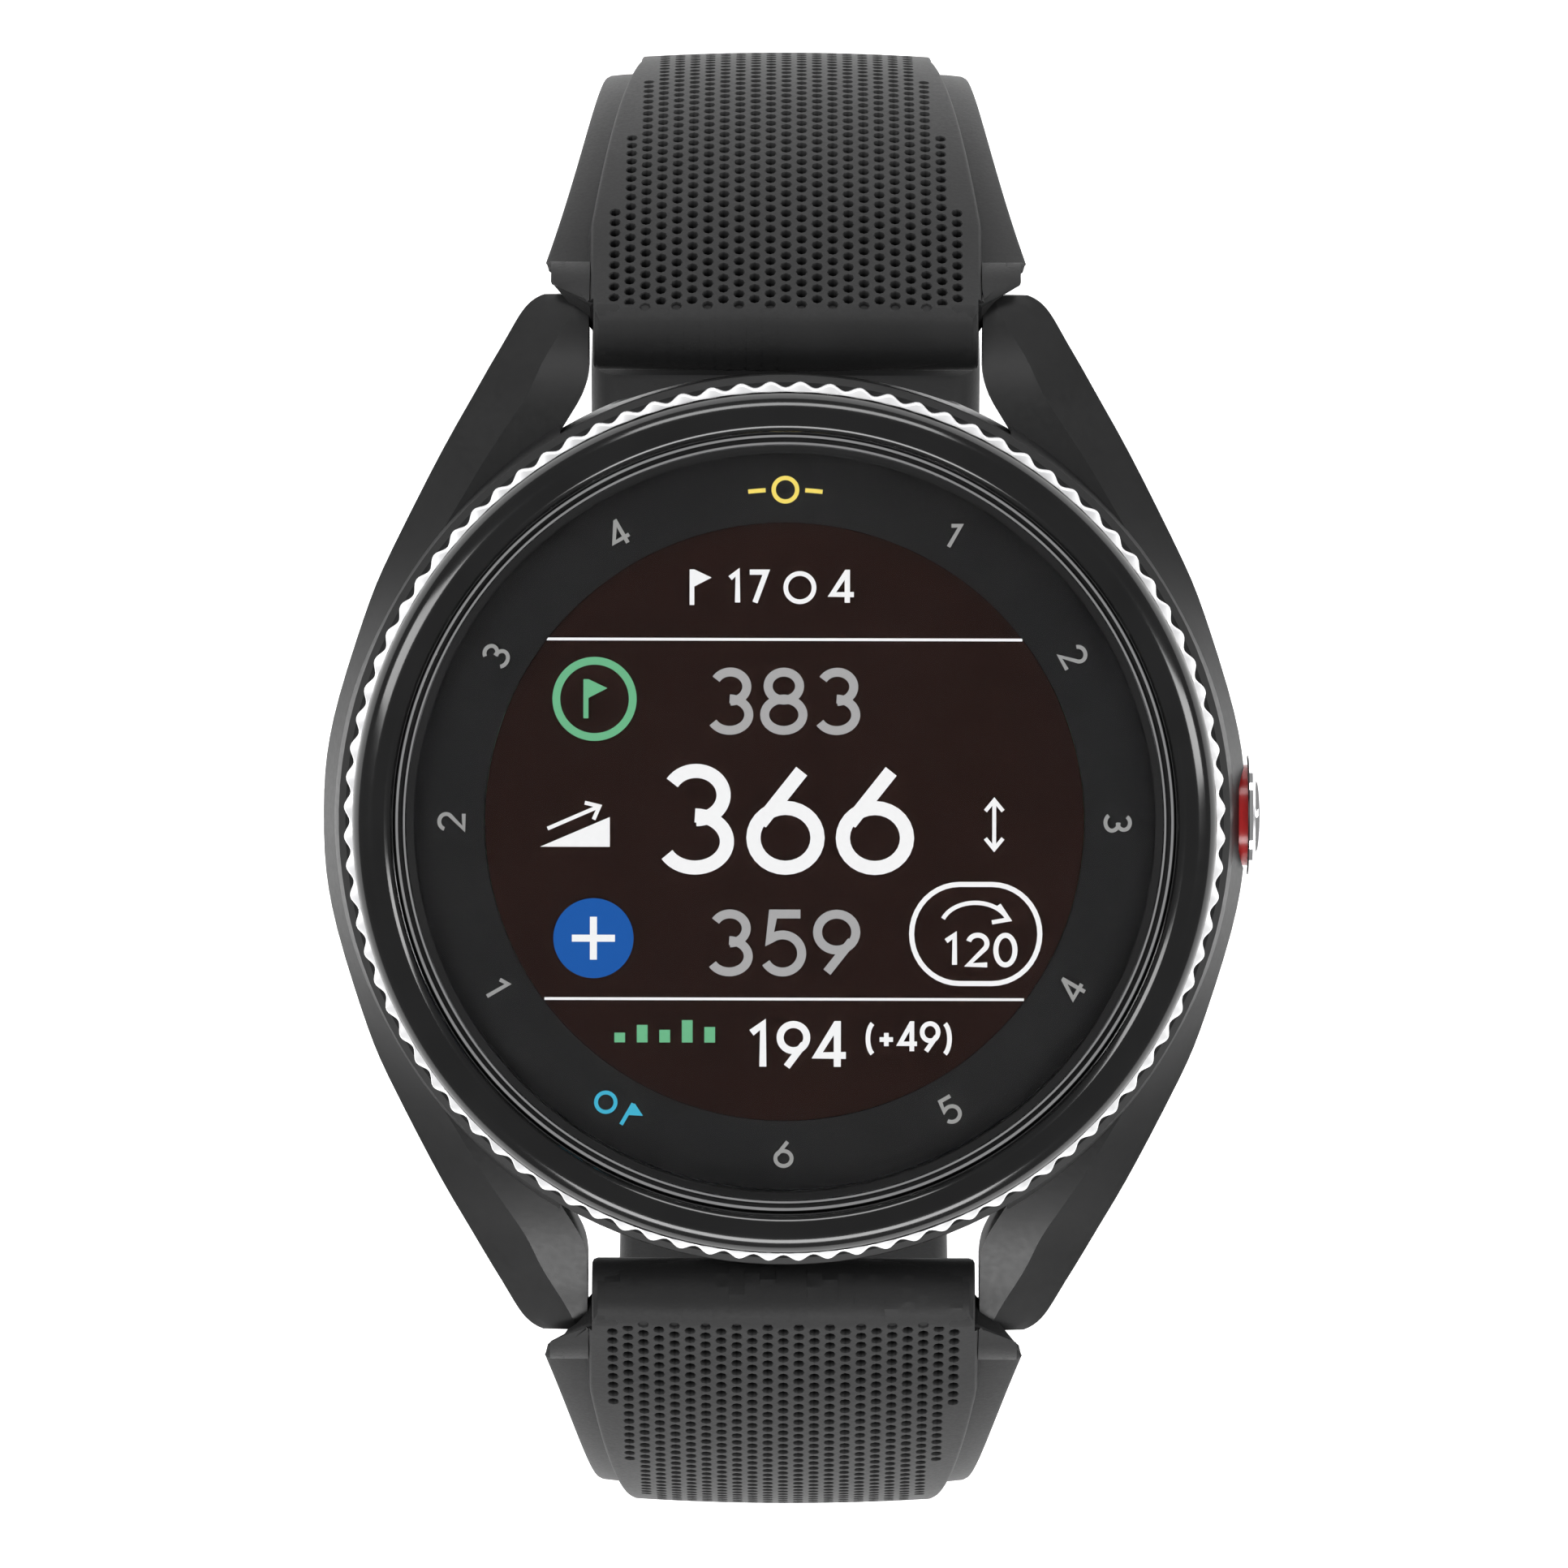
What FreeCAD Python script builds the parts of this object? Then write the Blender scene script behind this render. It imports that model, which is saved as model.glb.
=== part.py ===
"""Golf GPS watch: a round smart watch on a two-piece silicone strap, in millimetres.

The origin is the centre of the case back's outer face. +Z leaves the display, +Y is
the 12 o'clock side and +X the 3 o'clock side, where the push button is. The strap is
unfastened and hangs below the case in a loop.
"""
import FreeCAD
import Part
import Sketcher
import math
import os

Vector = FreeCAD.Vector
Z_AXIS = Vector(0, 0, 1)
X_AXIS = Vector(1, 0, 0)

DIMENSIONS = (
    # Middle case
    ("barrel_radius", 23.3), ("case_top_radius", 22.8), ("case_foot_radius", 21.2),
    ("case_foot", 0.9), ("case_shoulder", 11.3), ("case_waist", 6.6), ("case_lip", 0.35),
    ("cavity_radius", 20.4), ("cavity_floor", 3.0), ("cavity_roof", 9.6),
    ("flange_radius", 18.0), ("back_recess_radius", 20.6),
    ("neck_radius", 19.9), ("neck_bore_radius", 18.95), ("neck_top", 11.7),
    # Lugs and strap pivots
    ("lug_gap_half", 10.1), ("side_bevel", 1.4), ("waist_gap_half", 11.5),
    ("waist_gap_radius", 22.85), ("waist_gap_reach", 19.0),
    ("bar_reach", 25.5), ("bar_height", 5.5), ("bar_radius", 0.75),
    ("bar_bore_radius", 0.47), ("tip_radius", 0.4), ("lug_hole_radius", 0.45),
    ("case_relief_radius", 4.5), ("bar_moving_end", -4.5), ("bar_fixed_end", 5.0),
    ("bar_lever", -6.95),
    # Case back
    ("back_face_radius", 17.0), ("back_radius", 20.5), ("back_thickness", 1.8),
    ("back_edge", 0.9), ("screw_circle_radius", 19.15), ("screw_head_radius", 0.95),
    ("screw_shank_radius", 0.5),
    # Display, glass and bezel
    ("screen_radius", 15.3), ("scale_radius", 18.85), ("panel_base", 10.9),
    ("panel_top", 11.95), ("scale_base", 11.65), ("glass_base", 12.05),
    ("glass_radius", 18.9), ("glass_top", 13.05), ("trim_inner", 19.3),
    ("trim_top", 12.95), ("bezel_bore", 19.97), ("bezel_radius", 22.05),
    ("bezel_base", 12.35), ("bezel_crest", 14.1), ("bezel_outer_round", 1.25),
    ("bezel_inner_round", 0.65), ("grip_radius", 22.5), ("grip_base", 11.4),
    ("grip_root", 22.2), ("grip_teeth", 92), ("grip_groove", 0.36), ("click_outer", 21.2),
    ("click_inner", 20.45), ("click_height", 0.25),
    # Electronics
    ("board_radius", 17.0), ("board_base", 7.2), ("board_thickness", 0.8),
    ("battery_length", 27.0), ("battery_width", 19.0), ("battery_height", 4.3),
    ("battery_base", 2.5), ("motor_radius", 4.0), ("motor_base", 4.0),
    ("motor_height", 2.8), ("motor_x", 9.0), ("motor_y", -11.4),
    ("contact_radius", 0.75), ("contact_pitch", 2.8), ("contact_row", -11.0),
    ("shield_length", 11.0), ("shield_width", 10.0), ("shield_height", 1.4),
    ("antenna_side", 9.0), ("antenna_height", 2.0), ("sensor_side", 3.0),
    ("buzzer_radius", 4.5), ("buzzer_height", 1.2), ("buzzer_x", -6.0),
    ("buzzer_y", -7.0), ("battery_y", 2.2),
    # Push button
    ("button_height", 6.5), ("button_radius", 3.1), ("collar_radius", 2.6),
    ("button_rim", 23.75), ("button_rim_end", 24.15), ("button_crown", 24.85),
    ("button_seat", 23.28), ("button_seat_radius", 3.25), ("clip_radius", 1.5),
    ("collar_base", 22.75), ("counterbore_radius", 2.68), ("counterbore_floor", 22.15),
    ("stem_radius", 1.0), ("stem_end", 18.0), ("tube_bore", 1.05),
    ("tube_radius", 1.6), ("tube_end", 18.9), ("o_ring_radius", 0.915),
    ("o_ring_wire", 0.11),
    # Strap
    ("strap_start_reach", 26.32), ("strap_start_height", 9.0), ("strap_slope", 48.3),
    ("strap_run", 5.0), ("shoulder_arc", 35.3), ("tail_arc", 40.0), ("tail_turn", 80.0),
    ("buckle_arc", 28.0), ("buckle_turn", 64.0), ("buckle_run", 17.0),
    ("panel_root_half", 9.9), ("panel_end_half", 7.5), ("panel_step", 0.9),
    ("strap_root_half", 12.6), ("strap_end_half", 8.95), ("strap_fade", 16.0),
    ("strap_root_thickness", 3.2), ("strap_thickness", 2.4), ("knuckle_half", 9.85),
    ("knuckle_radius", 2.1), ("nose_reach", 24.8), ("nose_height", 7.7),
    ("nose_radius", 2.0), ("cove_radius", 2.75), ("adjust_holes", 7),
    ("adjust_pitch", 6.0), ("adjust_radius", 1.1),
    # Keepers and buckle
    ("keeper_width", 21.3), ("keeper_length", 6.0), ("keeper_wall", 1.3),
    ("keeper_room", 5.4), ("keeper_fixed_back", 5.8), ("keeper_fixed_drop", 0.06),
    ("keeper_sliding_back", 13.4), ("keeper_sliding_drop", 0.45),
    ("buckle_bar_radius", 0.75), ("buckle_bar_half", 11.3),
    ("buckle_arm_inner", 9.6), ("buckle_arm_outer", 11.6), ("buckle_length", 10.5),
    ("buckle_wire", 1.1), ("tang_radius", 0.8), ("tang_notch_half", 1.3),
)

doc = FreeCAD.newDocument("golf_gps_watch")
sheet = doc.addObject("Spreadsheet::Sheet", "Dims")
for row, (alias, value) in enumerate(DIMENSIONS, start=1):
    sheet.set("A%d" % row, alias)
    sheet.set("B%d" % row, str(value))
    sheet.setAlias("B%d" % row, alias)
doc.recompute()
nodes = []


def size(alias):
    """The value of one driving dimension."""
    return float(sheet.get(alias))


def bind(obj, **formulas):
    """Drive properties of an object with formulas of the sheet's aliases."""
    for name, formula in formulas.items():
        obj.setExpression(name, with_sheet(formula))


def with_sheet(formula):
    """Put the sheet's name before each alias in a formula."""
    words = formula.replace("(", " ( ").replace(")", " ) ").split()
    known = {alias for alias, _ in DIMENSIONS}
    return " ".join("Dims." + word if word in known else word for word in words)


def keep(obj, label):
    """Name a finished sub-part and list it for export."""
    obj.Label = label
    nodes.append(obj)
    return obj


def made(label, shape, placement=None):
    """A sub-part from a shape worked out of the sheet's sizes."""
    obj = doc.addObject("Part::Feature", label)
    obj.Shape = shape
    if placement is not None:
        obj.Placement = placement
    return keep(obj, label)


def cylinder(name, radius, low, high, x="0", y="0"):
    """An upright cylinder between two heights, all four sizes as formulas."""
    obj = doc.addObject("Part::Cylinder", name)
    bind(obj, Radius=radius, Height="%s - ( %s )" % (high, low))
    for axis, formula in (("x", x), ("y", y), ("z", low)):
        obj.setExpression(".Placement.Base." + axis, with_sheet(formula))
    return obj


def disc(label, radius, low, high, x="0", y="0"):
    return keep(cylinder(label, radius, low, high, x, y), label)


def ring(label, outer, inner, low, high):
    """A plain ring about Z."""
    cut = doc.addObject("Part::Cut", label)
    cut.Base = cylinder(label + "_outside", outer, low, high)
    cut.Tool = cylinder(label + "_bore", inner, low, high)
    return keep(cut, label)


def block(label, length, width, low, high, x="0", y="0"):
    """A box centred on x, y between two heights."""
    obj = doc.addObject("Part::Box", label)
    bind(obj, Length=length, Width=width, Height="%s - ( %s )" % (high, low))
    obj.setExpression(".Placement.Base.x", with_sheet("%s - ( %s ) / 2" % (x, length)))
    obj.setExpression(".Placement.Base.y", with_sheet("%s - ( %s ) / 2" % (y, width)))
    obj.setExpression(".Placement.Base.z", with_sheet(low))
    return keep(obj, label)


def draw(sketch, points):
    """Close an outline through points whose coordinates are formulas."""
    count = len(points)
    corner = [
        Vector(math.cos(2 * math.pi * i / count), math.sin(2 * math.pi * i / count), 0)
        for i in range(count)
    ]
    for i in range(count):
        sketch.addGeometry(Part.LineSegment(corner[i], corner[(i + 1) % count]), False)
    for i in range(count):
        sketch.addConstraint(Sketcher.Constraint("Coincident", i, 2, (i + 1) % count, 1))
    for i, formulas in enumerate(points):
        for kind, formula in zip(("DistanceX", "DistanceY"), formulas):
            index = sketch.addConstraint(Sketcher.Constraint(kind, i, 1, 1.0))
            sketch.setExpression("Constraints[%d]" % index, with_sheet(formula))


def turned(label, points, placement=None):
    """A body turned about its own Z axis from radius and height formulas."""
    body = doc.addObject("PartDesign::Body", label)
    sketch = body.newObject("Sketcher::SketchObject", label + "_profile")
    plane = [f for f in body.Origin.OriginFeatures if f.Role == "XZ_Plane"][0]
    sketch.AttachmentSupport = (plane, [""])
    sketch.MapMode = "FlatFace"
    draw(sketch, points)
    turn = body.newObject("PartDesign::Revolution", label + "_turn")
    turn.Profile = sketch
    turn.ReferenceAxis = (sketch, ["V_Axis"])
    turn.Angle = 360
    if placement is not None:
        body.Placement = placement
    return keep(body, label)


def round_over(body, radius, chosen):
    """Fillet the edges of a body's tip that pass a test."""
    doc.recompute()
    base = body.Tip
    names = ["Edge%d" % i for i, e in enumerate(base.Shape.Edges, start=1) if chosen(e)]
    fillet = body.newObject("PartDesign::Fillet", body.Label + "_round")
    fillet.Base = (base, names)
    bind(fillet, Radius=radius)
    return fillet


# Middle case, its lugs and the case back

def arc_through(start, middle, end):
    return Part.Arc(start, middle, end).toShape()


def case_barrel():
    """The turned outside of the case with its neck, still solid inside."""
    foot = Vector(size("case_foot_radius"), 0, size("case_foot"))
    waist = Vector(size("barrel_radius"), 0, size("case_waist"))
    shoulder = Vector(size("case_top_radius"), 0, size("case_shoulder") - size("case_lip"))
    lip = Vector(size("case_top_radius") - size("case_lip"), 0, size("case_shoulder"))
    neck = size("neck_radius")
    corners = (
        lip,
        Vector(neck, 0, size("case_shoulder")),
        Vector(neck, 0, size("neck_top")),
        Vector(0, 0, size("neck_top")),
        Vector(0, 0, size("case_foot")),
        foot,
    )
    edges = [arc_through(foot, waist, shoulder), Part.makeLine(shoulder, lip)]
    edges += [Part.makeLine(a, b) for a, b in zip(corners, corners[1:])]
    face = Part.Face(Part.Wire(edges))
    return face.revolve(Vector(), Z_AXIS, 360)


# Sections across the case's side from the middle to a lug's tip: place along Y, inner
# edge, underside height, top height, outer edge, ridge between the two top facets,
# and drop of the outer facet
SIDE_SECTIONS = (
    (0.0, 12.5, 1.4, 11.0, 23.65, 22.7, 2.6),
    (4.0, 12.5, 1.4, 11.0, 23.35, 22.3, 2.4),
    (8.0, 12.5, 1.4, 11.0, 22.3, 21.1, 1.9),
    (11.0, 12.5, 1.5, 10.9, 21.3, 19.8, 1.6),
    (14.0, 12.5, 1.6, 10.6, 20.0, 18.0, 1.5),
    (17.0, 12.5, 1.8, 10.1, 18.5, 16.2, 1.4),
    (20.0, 11.4, 2.2, 9.4, 16.9, 14.3, 1.4),
    (23.0, 10.1, 2.9, 8.3, 15.2, 12.6, 1.2),
    (24.9, 10.1, 3.5, 7.5, 14.1, 11.5, 1.0),
    (26.0, 10.1, 3.9, 7.1, 13.4, 10.9, 0.9),
    (26.7, 10.1, 4.4, 6.6, 12.4, 10.6, 0.4),
)


def case_side():
    """The +X side from lug tip to lug tip: an inner top facet and a sloped outer one."""
    bevel = size("side_bevel")
    below = [(-section[0],) + section[1:] for section in reversed(SIDE_SECTIONS[1:])]
    sections = []
    for reach, inner, under, top, outer, ridge, drop in below + list(SIDE_SECTIONS):
        outline = ((inner, under), (outer - bevel, under), (outer, under + bevel),
                   (outer, top - drop), (ridge, top), (inner, top))
        corners = [Vector(x, reach, z) for x, z in outline]
        sections.append(Part.makePolygon(corners + corners[:1]))
    return Part.makeLoft(sections, True, False)


def waist_gaps():
    """Room beside the strap's root: the barrel is slimmer between the lugs."""
    half, reach, height = size("waist_gap_half"), size("waist_gap_reach"), size("neck_top")
    core = Part.makeCylinder(size("waist_gap_radius"), height)
    depth = size("barrel_radius") + 1 - reach
    places = (Vector(-half, reach, 0), Vector(-half, -reach - depth, 0))
    return [Part.makeBox(2 * half, depth, height, place).cut(core) for place in places]


def case_cavities():
    """The solids that are cut from the case to hollow it."""
    heights = ("case_foot", "back_thickness", "cavity_floor", "cavity_roof", "neck_top")
    radii = ("back_recess_radius", "flange_radius", "cavity_radius", "neck_bore_radius")
    tools = []
    for radius, low, high in zip(radii, heights, heights[1:]):
        bottom, top = size(low), size(high)
        if low == "case_foot":
            bottom -= 1
        if high == "neck_top":
            top += 1
        tools.append(Part.makeCylinder(size(radius), top - bottom, Vector(0, 0, bottom)))
    return tools


def side_rods(radius, first, last, reach, level, both_ways=False):
    """Cylinders along X, on +X only or on both sides."""
    rods = [Part.makeCylinder(radius, last - first, Vector(first, reach, level), X_AXIS)]
    if both_ways:
        rods.append(Part.makeCylinder(
            radius, last - first, Vector(-last, reach, level), X_AXIS))
    return rods


def screw_places():
    circle = size("screw_circle_radius")
    for quarter in range(4):
        angle = math.radians(45 + 90 * quarter)
        yield Vector(circle * math.cos(angle), circle * math.sin(angle), 0)


def mid_case():
    side = case_side()
    barrel = case_barrel().cut(waist_gaps())
    shape = barrel.fuse([side, side.mirror(Vector(), X_AXIS)])
    tools = case_cavities()
    gap = size("lug_gap_half")
    for way in (1, -1):
        reach = way * size("bar_reach")
        relief = Part.makeCylinder(
            size("case_relief_radius"), 2 * gap, Vector(-gap, reach, size("bar_height")), X_AXIS)
        tools.append(relief)
        tools += side_rods(
            size("lug_hole_radius"), gap - 1, gap + 1.4, reach, size("bar_height"), True)
    level = size("button_height")
    tools += side_rods(size("tube_radius"), 18, 24, 0, level)
    tools += side_rods(size("counterbore_radius"), size("counterbore_floor"), 25, 0, level)
    tools += side_rods(size("button_seat_radius"), size("button_seat"), 25, 0, level)
    for place in screw_places():
        foot = place + Vector(0, 0, size("back_thickness") - 1)
        tools.append(Part.makeCylinder(size("screw_shank_radius"), 3, foot))
    shape = shape.cut(tools).removeSplitter()
    return made("mid_case", Part.Solid(shape.Solids[0]))


def case_back():
    body = turned("case_back_blank", [
        ("0", "0"), ("back_face_radius", "0"), ("back_radius", "back_edge"),
        ("back_radius", "back_thickness"), ("0", "back_thickness"),
    ])
    nodes.remove(body)
    doc.recompute()
    tools = []
    for place in screw_places():
        tools.append(Part.makeCylinder(size("screw_shank_radius"), 3, place))
        tools.append(Part.makeCylinder(size("screw_head_radius") + 0.05, 1.2, place))
    for place in contact_places():
        tools.append(Part.makeCylinder(size("contact_radius"), 3, place))
    made("case_back", body.Shape.cut(Part.makeCompound(tools)))


def contact_places():
    pitch = size("contact_pitch")
    for index in range(4):
        yield Vector((index - 1.5) * pitch, size("contact_row"), 0)


def case_screws():
    """Four countersunk-flush screws, one group of separate solids."""
    screws = []
    for place in screw_places():
        seat = place + Vector(0, 0, 0.45)
        head = Part.makeCylinder(size("screw_head_radius"), 0.75, seat)
        shank = Part.makeCylinder(size("screw_shank_radius") - 0.02, 2.3, seat)
        slot = Part.makeBox(2.4, 0.3, 0.35, seat - Vector(1.2, 0.15, 0))
        screws.append(head.fuse(shank).cut(slot).removeSplitter())
    made("case_screws", Part.makeCompound(screws))


def charging_contacts():
    radius = size("contact_radius") - 0.02
    height = size("back_thickness") + 0.3
    pins = [Part.makeCylinder(radius, height, p + Vector(0, 0, 0.02)) for p in contact_places()]
    made("charging_contacts", Part.makeCompound(pins))
    block("contact_block", "contact_pitch * 4 + 1", "3.2", "back_thickness + 0.32",
          "back_thickness + 0.69", "0", "contact_row")


# Display stack, glass and rotating bezel

def display_stack():
    ring("back_gasket", "flange_radius - 0.05", "flange_radius - 0.9",
         "back_thickness + 0.01", "back_thickness + 0.6")
    disc("display_panel", "screen_radius", "panel_base", "panel_top")
    ring("display_frame", "flange_radius - 0.2", "board_radius - 1.2",
         "board_base + board_thickness", "panel_base - 0.05")
    ring("scale_ring", "scale_radius", "screen_radius + 0.02", "scale_base", "glass_base - 0.05")
    disc("glass", "glass_radius", "glass_base", "glass_top")
    ring("glass_gasket", "trim_inner", "glass_radius", "neck_top", "trim_top - 0.1")
    ring("trim_ring", "neck_radius", "trim_inner", "neck_top", "trim_top")
    block("display_cable", "6", "0.3", "board_base + board_thickness", "panel_base",
          "0", "0 - 14.6")


def bezel_ring():
    body = turned("bezel_ring", [
        ("bezel_bore", "bezel_base"), ("bezel_radius", "bezel_base"),
        ("bezel_radius", "bezel_crest"), ("bezel_bore", "bezel_crest"),
    ])
    crest = size("bezel_crest") - 0.01
    bore = size("bezel_bore") + 0.1
    round_over(body, "bezel_outer_round",
               lambda e: e.BoundBox.ZMin > crest and e.BoundBox.XMax > bore)
    round_over(body, "bezel_inner_round",
               lambda e: e.BoundBox.ZMin > crest and e.BoundBox.XMax < bore)


def grip_ring():
    """The ring of rounded teeth that the fingers turn the bezel by."""
    low, high = size("grip_base"), size("bezel_base")
    root, tip = size("grip_root"), size("grip_radius")
    count = int(size("grip_teeth"))
    blank = Part.makeCylinder(tip, high - low, Vector(0, 0, low))
    groove = size("grip_groove")
    centre = root + groove
    tools = [Part.makeCylinder(size("bezel_bore"), 9, Vector(0, 0, low - 1))]
    for index in range(count):
        angle = 2 * math.pi * index / count
        place = Vector(centre * math.cos(angle), centre * math.sin(angle), low - 1)
        tools.append(Part.makeCylinder(groove, 9, place))
    channel = Part.makeCylinder(size("click_outer") + 0.1, size("click_height") + 0.2,
                                Vector(0, 0, low - 0.01))
    tools.append(channel)
    made("bezel_grip_ring", blank.cut(Part.makeCompound(tools)).removeSplitter())


def click_spring():
    """A flat wave ring that lies on the case shoulder under the bezel."""
    low = size("case_shoulder")
    outer = Part.makeCylinder(size("click_outer"), size("click_height"), Vector(0, 0, low))
    inner = Part.makeCylinder(size("click_inner"), 2, Vector(0, 0, low - 1))
    gap = Part.makeBox(3, 1.2, 2, Vector(19.5, -0.6, low - 1))
    made("bezel_click_spring", outer.cut(inner).cut(gap))


# Electronics

def electronics():
    disc("main_board", "board_radius", "board_base", "board_base + board_thickness")
    block("battery", "battery_length", "battery_width", "battery_base + 0.1",
          "battery_base + battery_height", "0", "battery_y")
    block("battery_pad", "battery_length - 2", "battery_width - 2",
          "battery_base + battery_height", "board_base", "0", "battery_y")
    block("shield_can", "shield_length", "shield_width", "board_base + board_thickness",
          "board_base + board_thickness + shield_height", "0 - 5.5", "4")
    block("gps_antenna", "antenna_side", "antenna_side", "board_base + board_thickness",
          "board_base + board_thickness + antenna_height", "7", "5")
    block("pressure_sensor", "sensor_side", "sensor_side", "board_base + board_thickness",
          "board_base + board_thickness + 1", "4", "0 - 5")
    ring("buzzer", "buzzer_radius", "1", "board_base + board_thickness",
         "board_base + board_thickness + buzzer_height")
    buzzer = nodes[-1]
    buzzer.Placement = FreeCAD.Placement(
        Vector(size("buzzer_x"), size("buzzer_y"), 0), FreeCAD.Rotation())
    block("button_switch", "1.4", "3", "button_height - 1.2", "board_base",
          "stem_end - 1.15", "0")


def vibration_motor():
    """A coin motor under the board, with an off-centre rotor on a pin inside."""
    low, high = size("motor_base"), size("motor_base") + size("motor_height")
    centre = Vector(size("motor_x"), size("motor_y"), low)
    radius = size("motor_radius")
    outer = Part.makeCylinder(radius, high - low, centre)
    room = Part.makeCylinder(radius - 0.35, high - low - 0.7, centre + Vector(0, 0, 0.35))
    pin = Part.makeCylinder(0.4, high - low, centre)
    made("motor_housing", outer.cut(room).fuse(pin).removeSplitter())
    disc_shape = Part.makeCylinder(
        radius - 0.7, high - low - 1.2, centre + Vector(0, 0, 0.6), Z_AXIS, 200)
    hub = Part.makeCylinder(1.1, high - low - 1.2, centre + Vector(0, 0, 0.6))
    bore = Part.makeCylinder(0.45, high, centre)
    made("motor_rotor", disc_shape.fuse(hub).cut(bore).removeSplitter())


# Push button, which slides along X in a tube in the case wall

def along_x(level="button_height"):
    """Turns a body's own Z axis to +X at a given height."""
    return FreeCAD.Placement(Vector(0, 0, size(level)), FreeCAD.Rotation(Vector(0, 1, 0), 90))


def coil(radius, wire, pitch, length):
    """A helical spring standing on the origin along Z."""
    path = Part.makeHelix(pitch, length - 2 * wire, radius)
    section = Part.Wire(Part.makeCircle(wire, Vector(radius, 0, 0), Vector(0, 1, 0)))
    shape = Part.Wire(path.Edges).makePipeShell([section], True, True)
    shape.translate(Vector(0, 0, wire))
    return shape


def push_button():
    turned("button_head", [
        ("0", "button_rim"), ("button_radius", "button_rim"),
        ("button_radius", "button_rim_end"), ("button_radius - 0.4", "button_rim_end"),
        ("button_radius - 0.9", "button_crown - 0.2"), ("0", "button_crown"),
    ], along_x())
    turned("button_collar", [
        ("stem_radius", "collar_base"), ("collar_radius", "collar_base"),
        ("collar_radius", "button_rim"), ("stem_radius", "button_rim"),
    ], along_x())
    turned("button_stem", [
        ("0", "stem_end"), ("stem_radius", "stem_end"),
        ("stem_radius", "stem_end + 0.5"), ("0.8", "stem_end + 0.5"),
        ("0.8", "stem_end + 0.85"), ("stem_radius", "stem_end + 0.85"),
        ("stem_radius", "stem_end + 1.8"), ("0.8", "stem_end + 1.8"),
        ("0.8", "stem_end + 2.4"), ("stem_radius", "stem_end + 2.4"),
        ("stem_radius", "button_rim"), ("0", "button_rim"),
    ], along_x())
    turned("button_clip", [
        ("0.8", "stem_end + 0.52"), ("clip_radius", "stem_end + 0.52"),
        ("clip_radius", "stem_end + 0.83"), ("0.8", "stem_end + 0.83"),
    ], along_x())
    turned("button_tube", [
        ("tube_bore", "tube_end"), ("tube_radius", "tube_end"),
        ("tube_radius", "counterbore_floor"), ("tube_bore", "counterbore_floor"),
    ], along_x())
    level = size("button_height")
    seal_place = Vector(size("stem_end") + 2.1, 0, level)
    o_ring = Part.makeTorus(size("o_ring_radius"), size("o_ring_wire"), seal_place, X_AXIS)
    made("button_o_ring", o_ring)
    turned("button_spring", [
        ("1.25", "counterbore_floor + 0.02"), ("1.4", "counterbore_floor + 0.02"),
        ("2.2", "collar_base - 0.02"), ("2.05", "collar_base - 0.02"),
    ], along_x())


# Strap: a route in the YZ plane, and sections across it

class Route:
    """Straight runs and arcs that start at the first row of perforations."""

    def __init__(self, last_arc, last_turn, last_run):
        slope = math.radians(size("strap_slope"))
        shoulder = size("shoulder_arc")
        self.runs = [
            (size("strap_run"), 0.0),
            (shoulder * (math.pi / 2 - slope), shoulder),
            (last_arc * math.radians(last_turn), last_arc),
            (last_run, 0.0),
        ]
        self.length = sum(length for length, _ in self.runs)

    def at(self, distance):
        """Point of the outer face, and heading below the horizontal in radians."""
        y, z = size("strap_start_reach"), size("strap_start_height")
        heading = math.radians(size("strap_slope"))
        left = distance
        for length, radius in self.runs:
            step = min(length, left)
            if radius:
                after = heading + step / radius
                y += radius * (math.sin(after) - math.sin(heading))
                z += radius * (math.cos(after) - math.cos(heading))
                heading = after
            else:
                y += step * math.cos(heading)
                z -= step * math.sin(heading)
            left -= step
        return Vector(0, y, z), heading

    def frame(self, distance):
        """Placement whose X is along the strap and Z is its outward normal."""
        point, heading = self.at(distance)
        along = Vector(0, math.cos(heading), -math.sin(heading))
        outward = Vector(0, math.sin(heading), math.cos(heading))
        across = outward.cross(along)
        return FreeCAD.Placement(point, FreeCAD.Rotation(along, across, outward, "ZXY"))


def strap_section(route, distance, squeeze=1.0):
    """Closed wire across the strap: a raised centre panel on two shoulders."""
    fade = math.exp(-distance / size("strap_fade"))
    end, root = size("strap_end_half"), size("strap_root_half")
    half = (end + (root - end) * fade) * squeeze
    panel_end, panel_root = size("panel_end_half"), size("panel_root_half")
    panel = (panel_end + (panel_root - panel_end) * min(1.0, fade * 1.35)) * squeeze
    step = size("panel_step")
    thin, thick = size("strap_thickness"), size("strap_root_thickness")
    depth = thin + (thick - thin) * fade
    outline = [
        (panel, 0), (panel, -step), (half, -step - 0.2), (half - 0.7, -depth),
        (0.7 - half, -depth), (-half, -step - 0.2), (-panel, -step), (-panel, 0),
    ]
    place = route.frame(distance)
    corners = [place.multVec(Vector(0, across, out)) for across, out in outline]
    return Part.makePolygon(corners + corners[:1])


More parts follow.
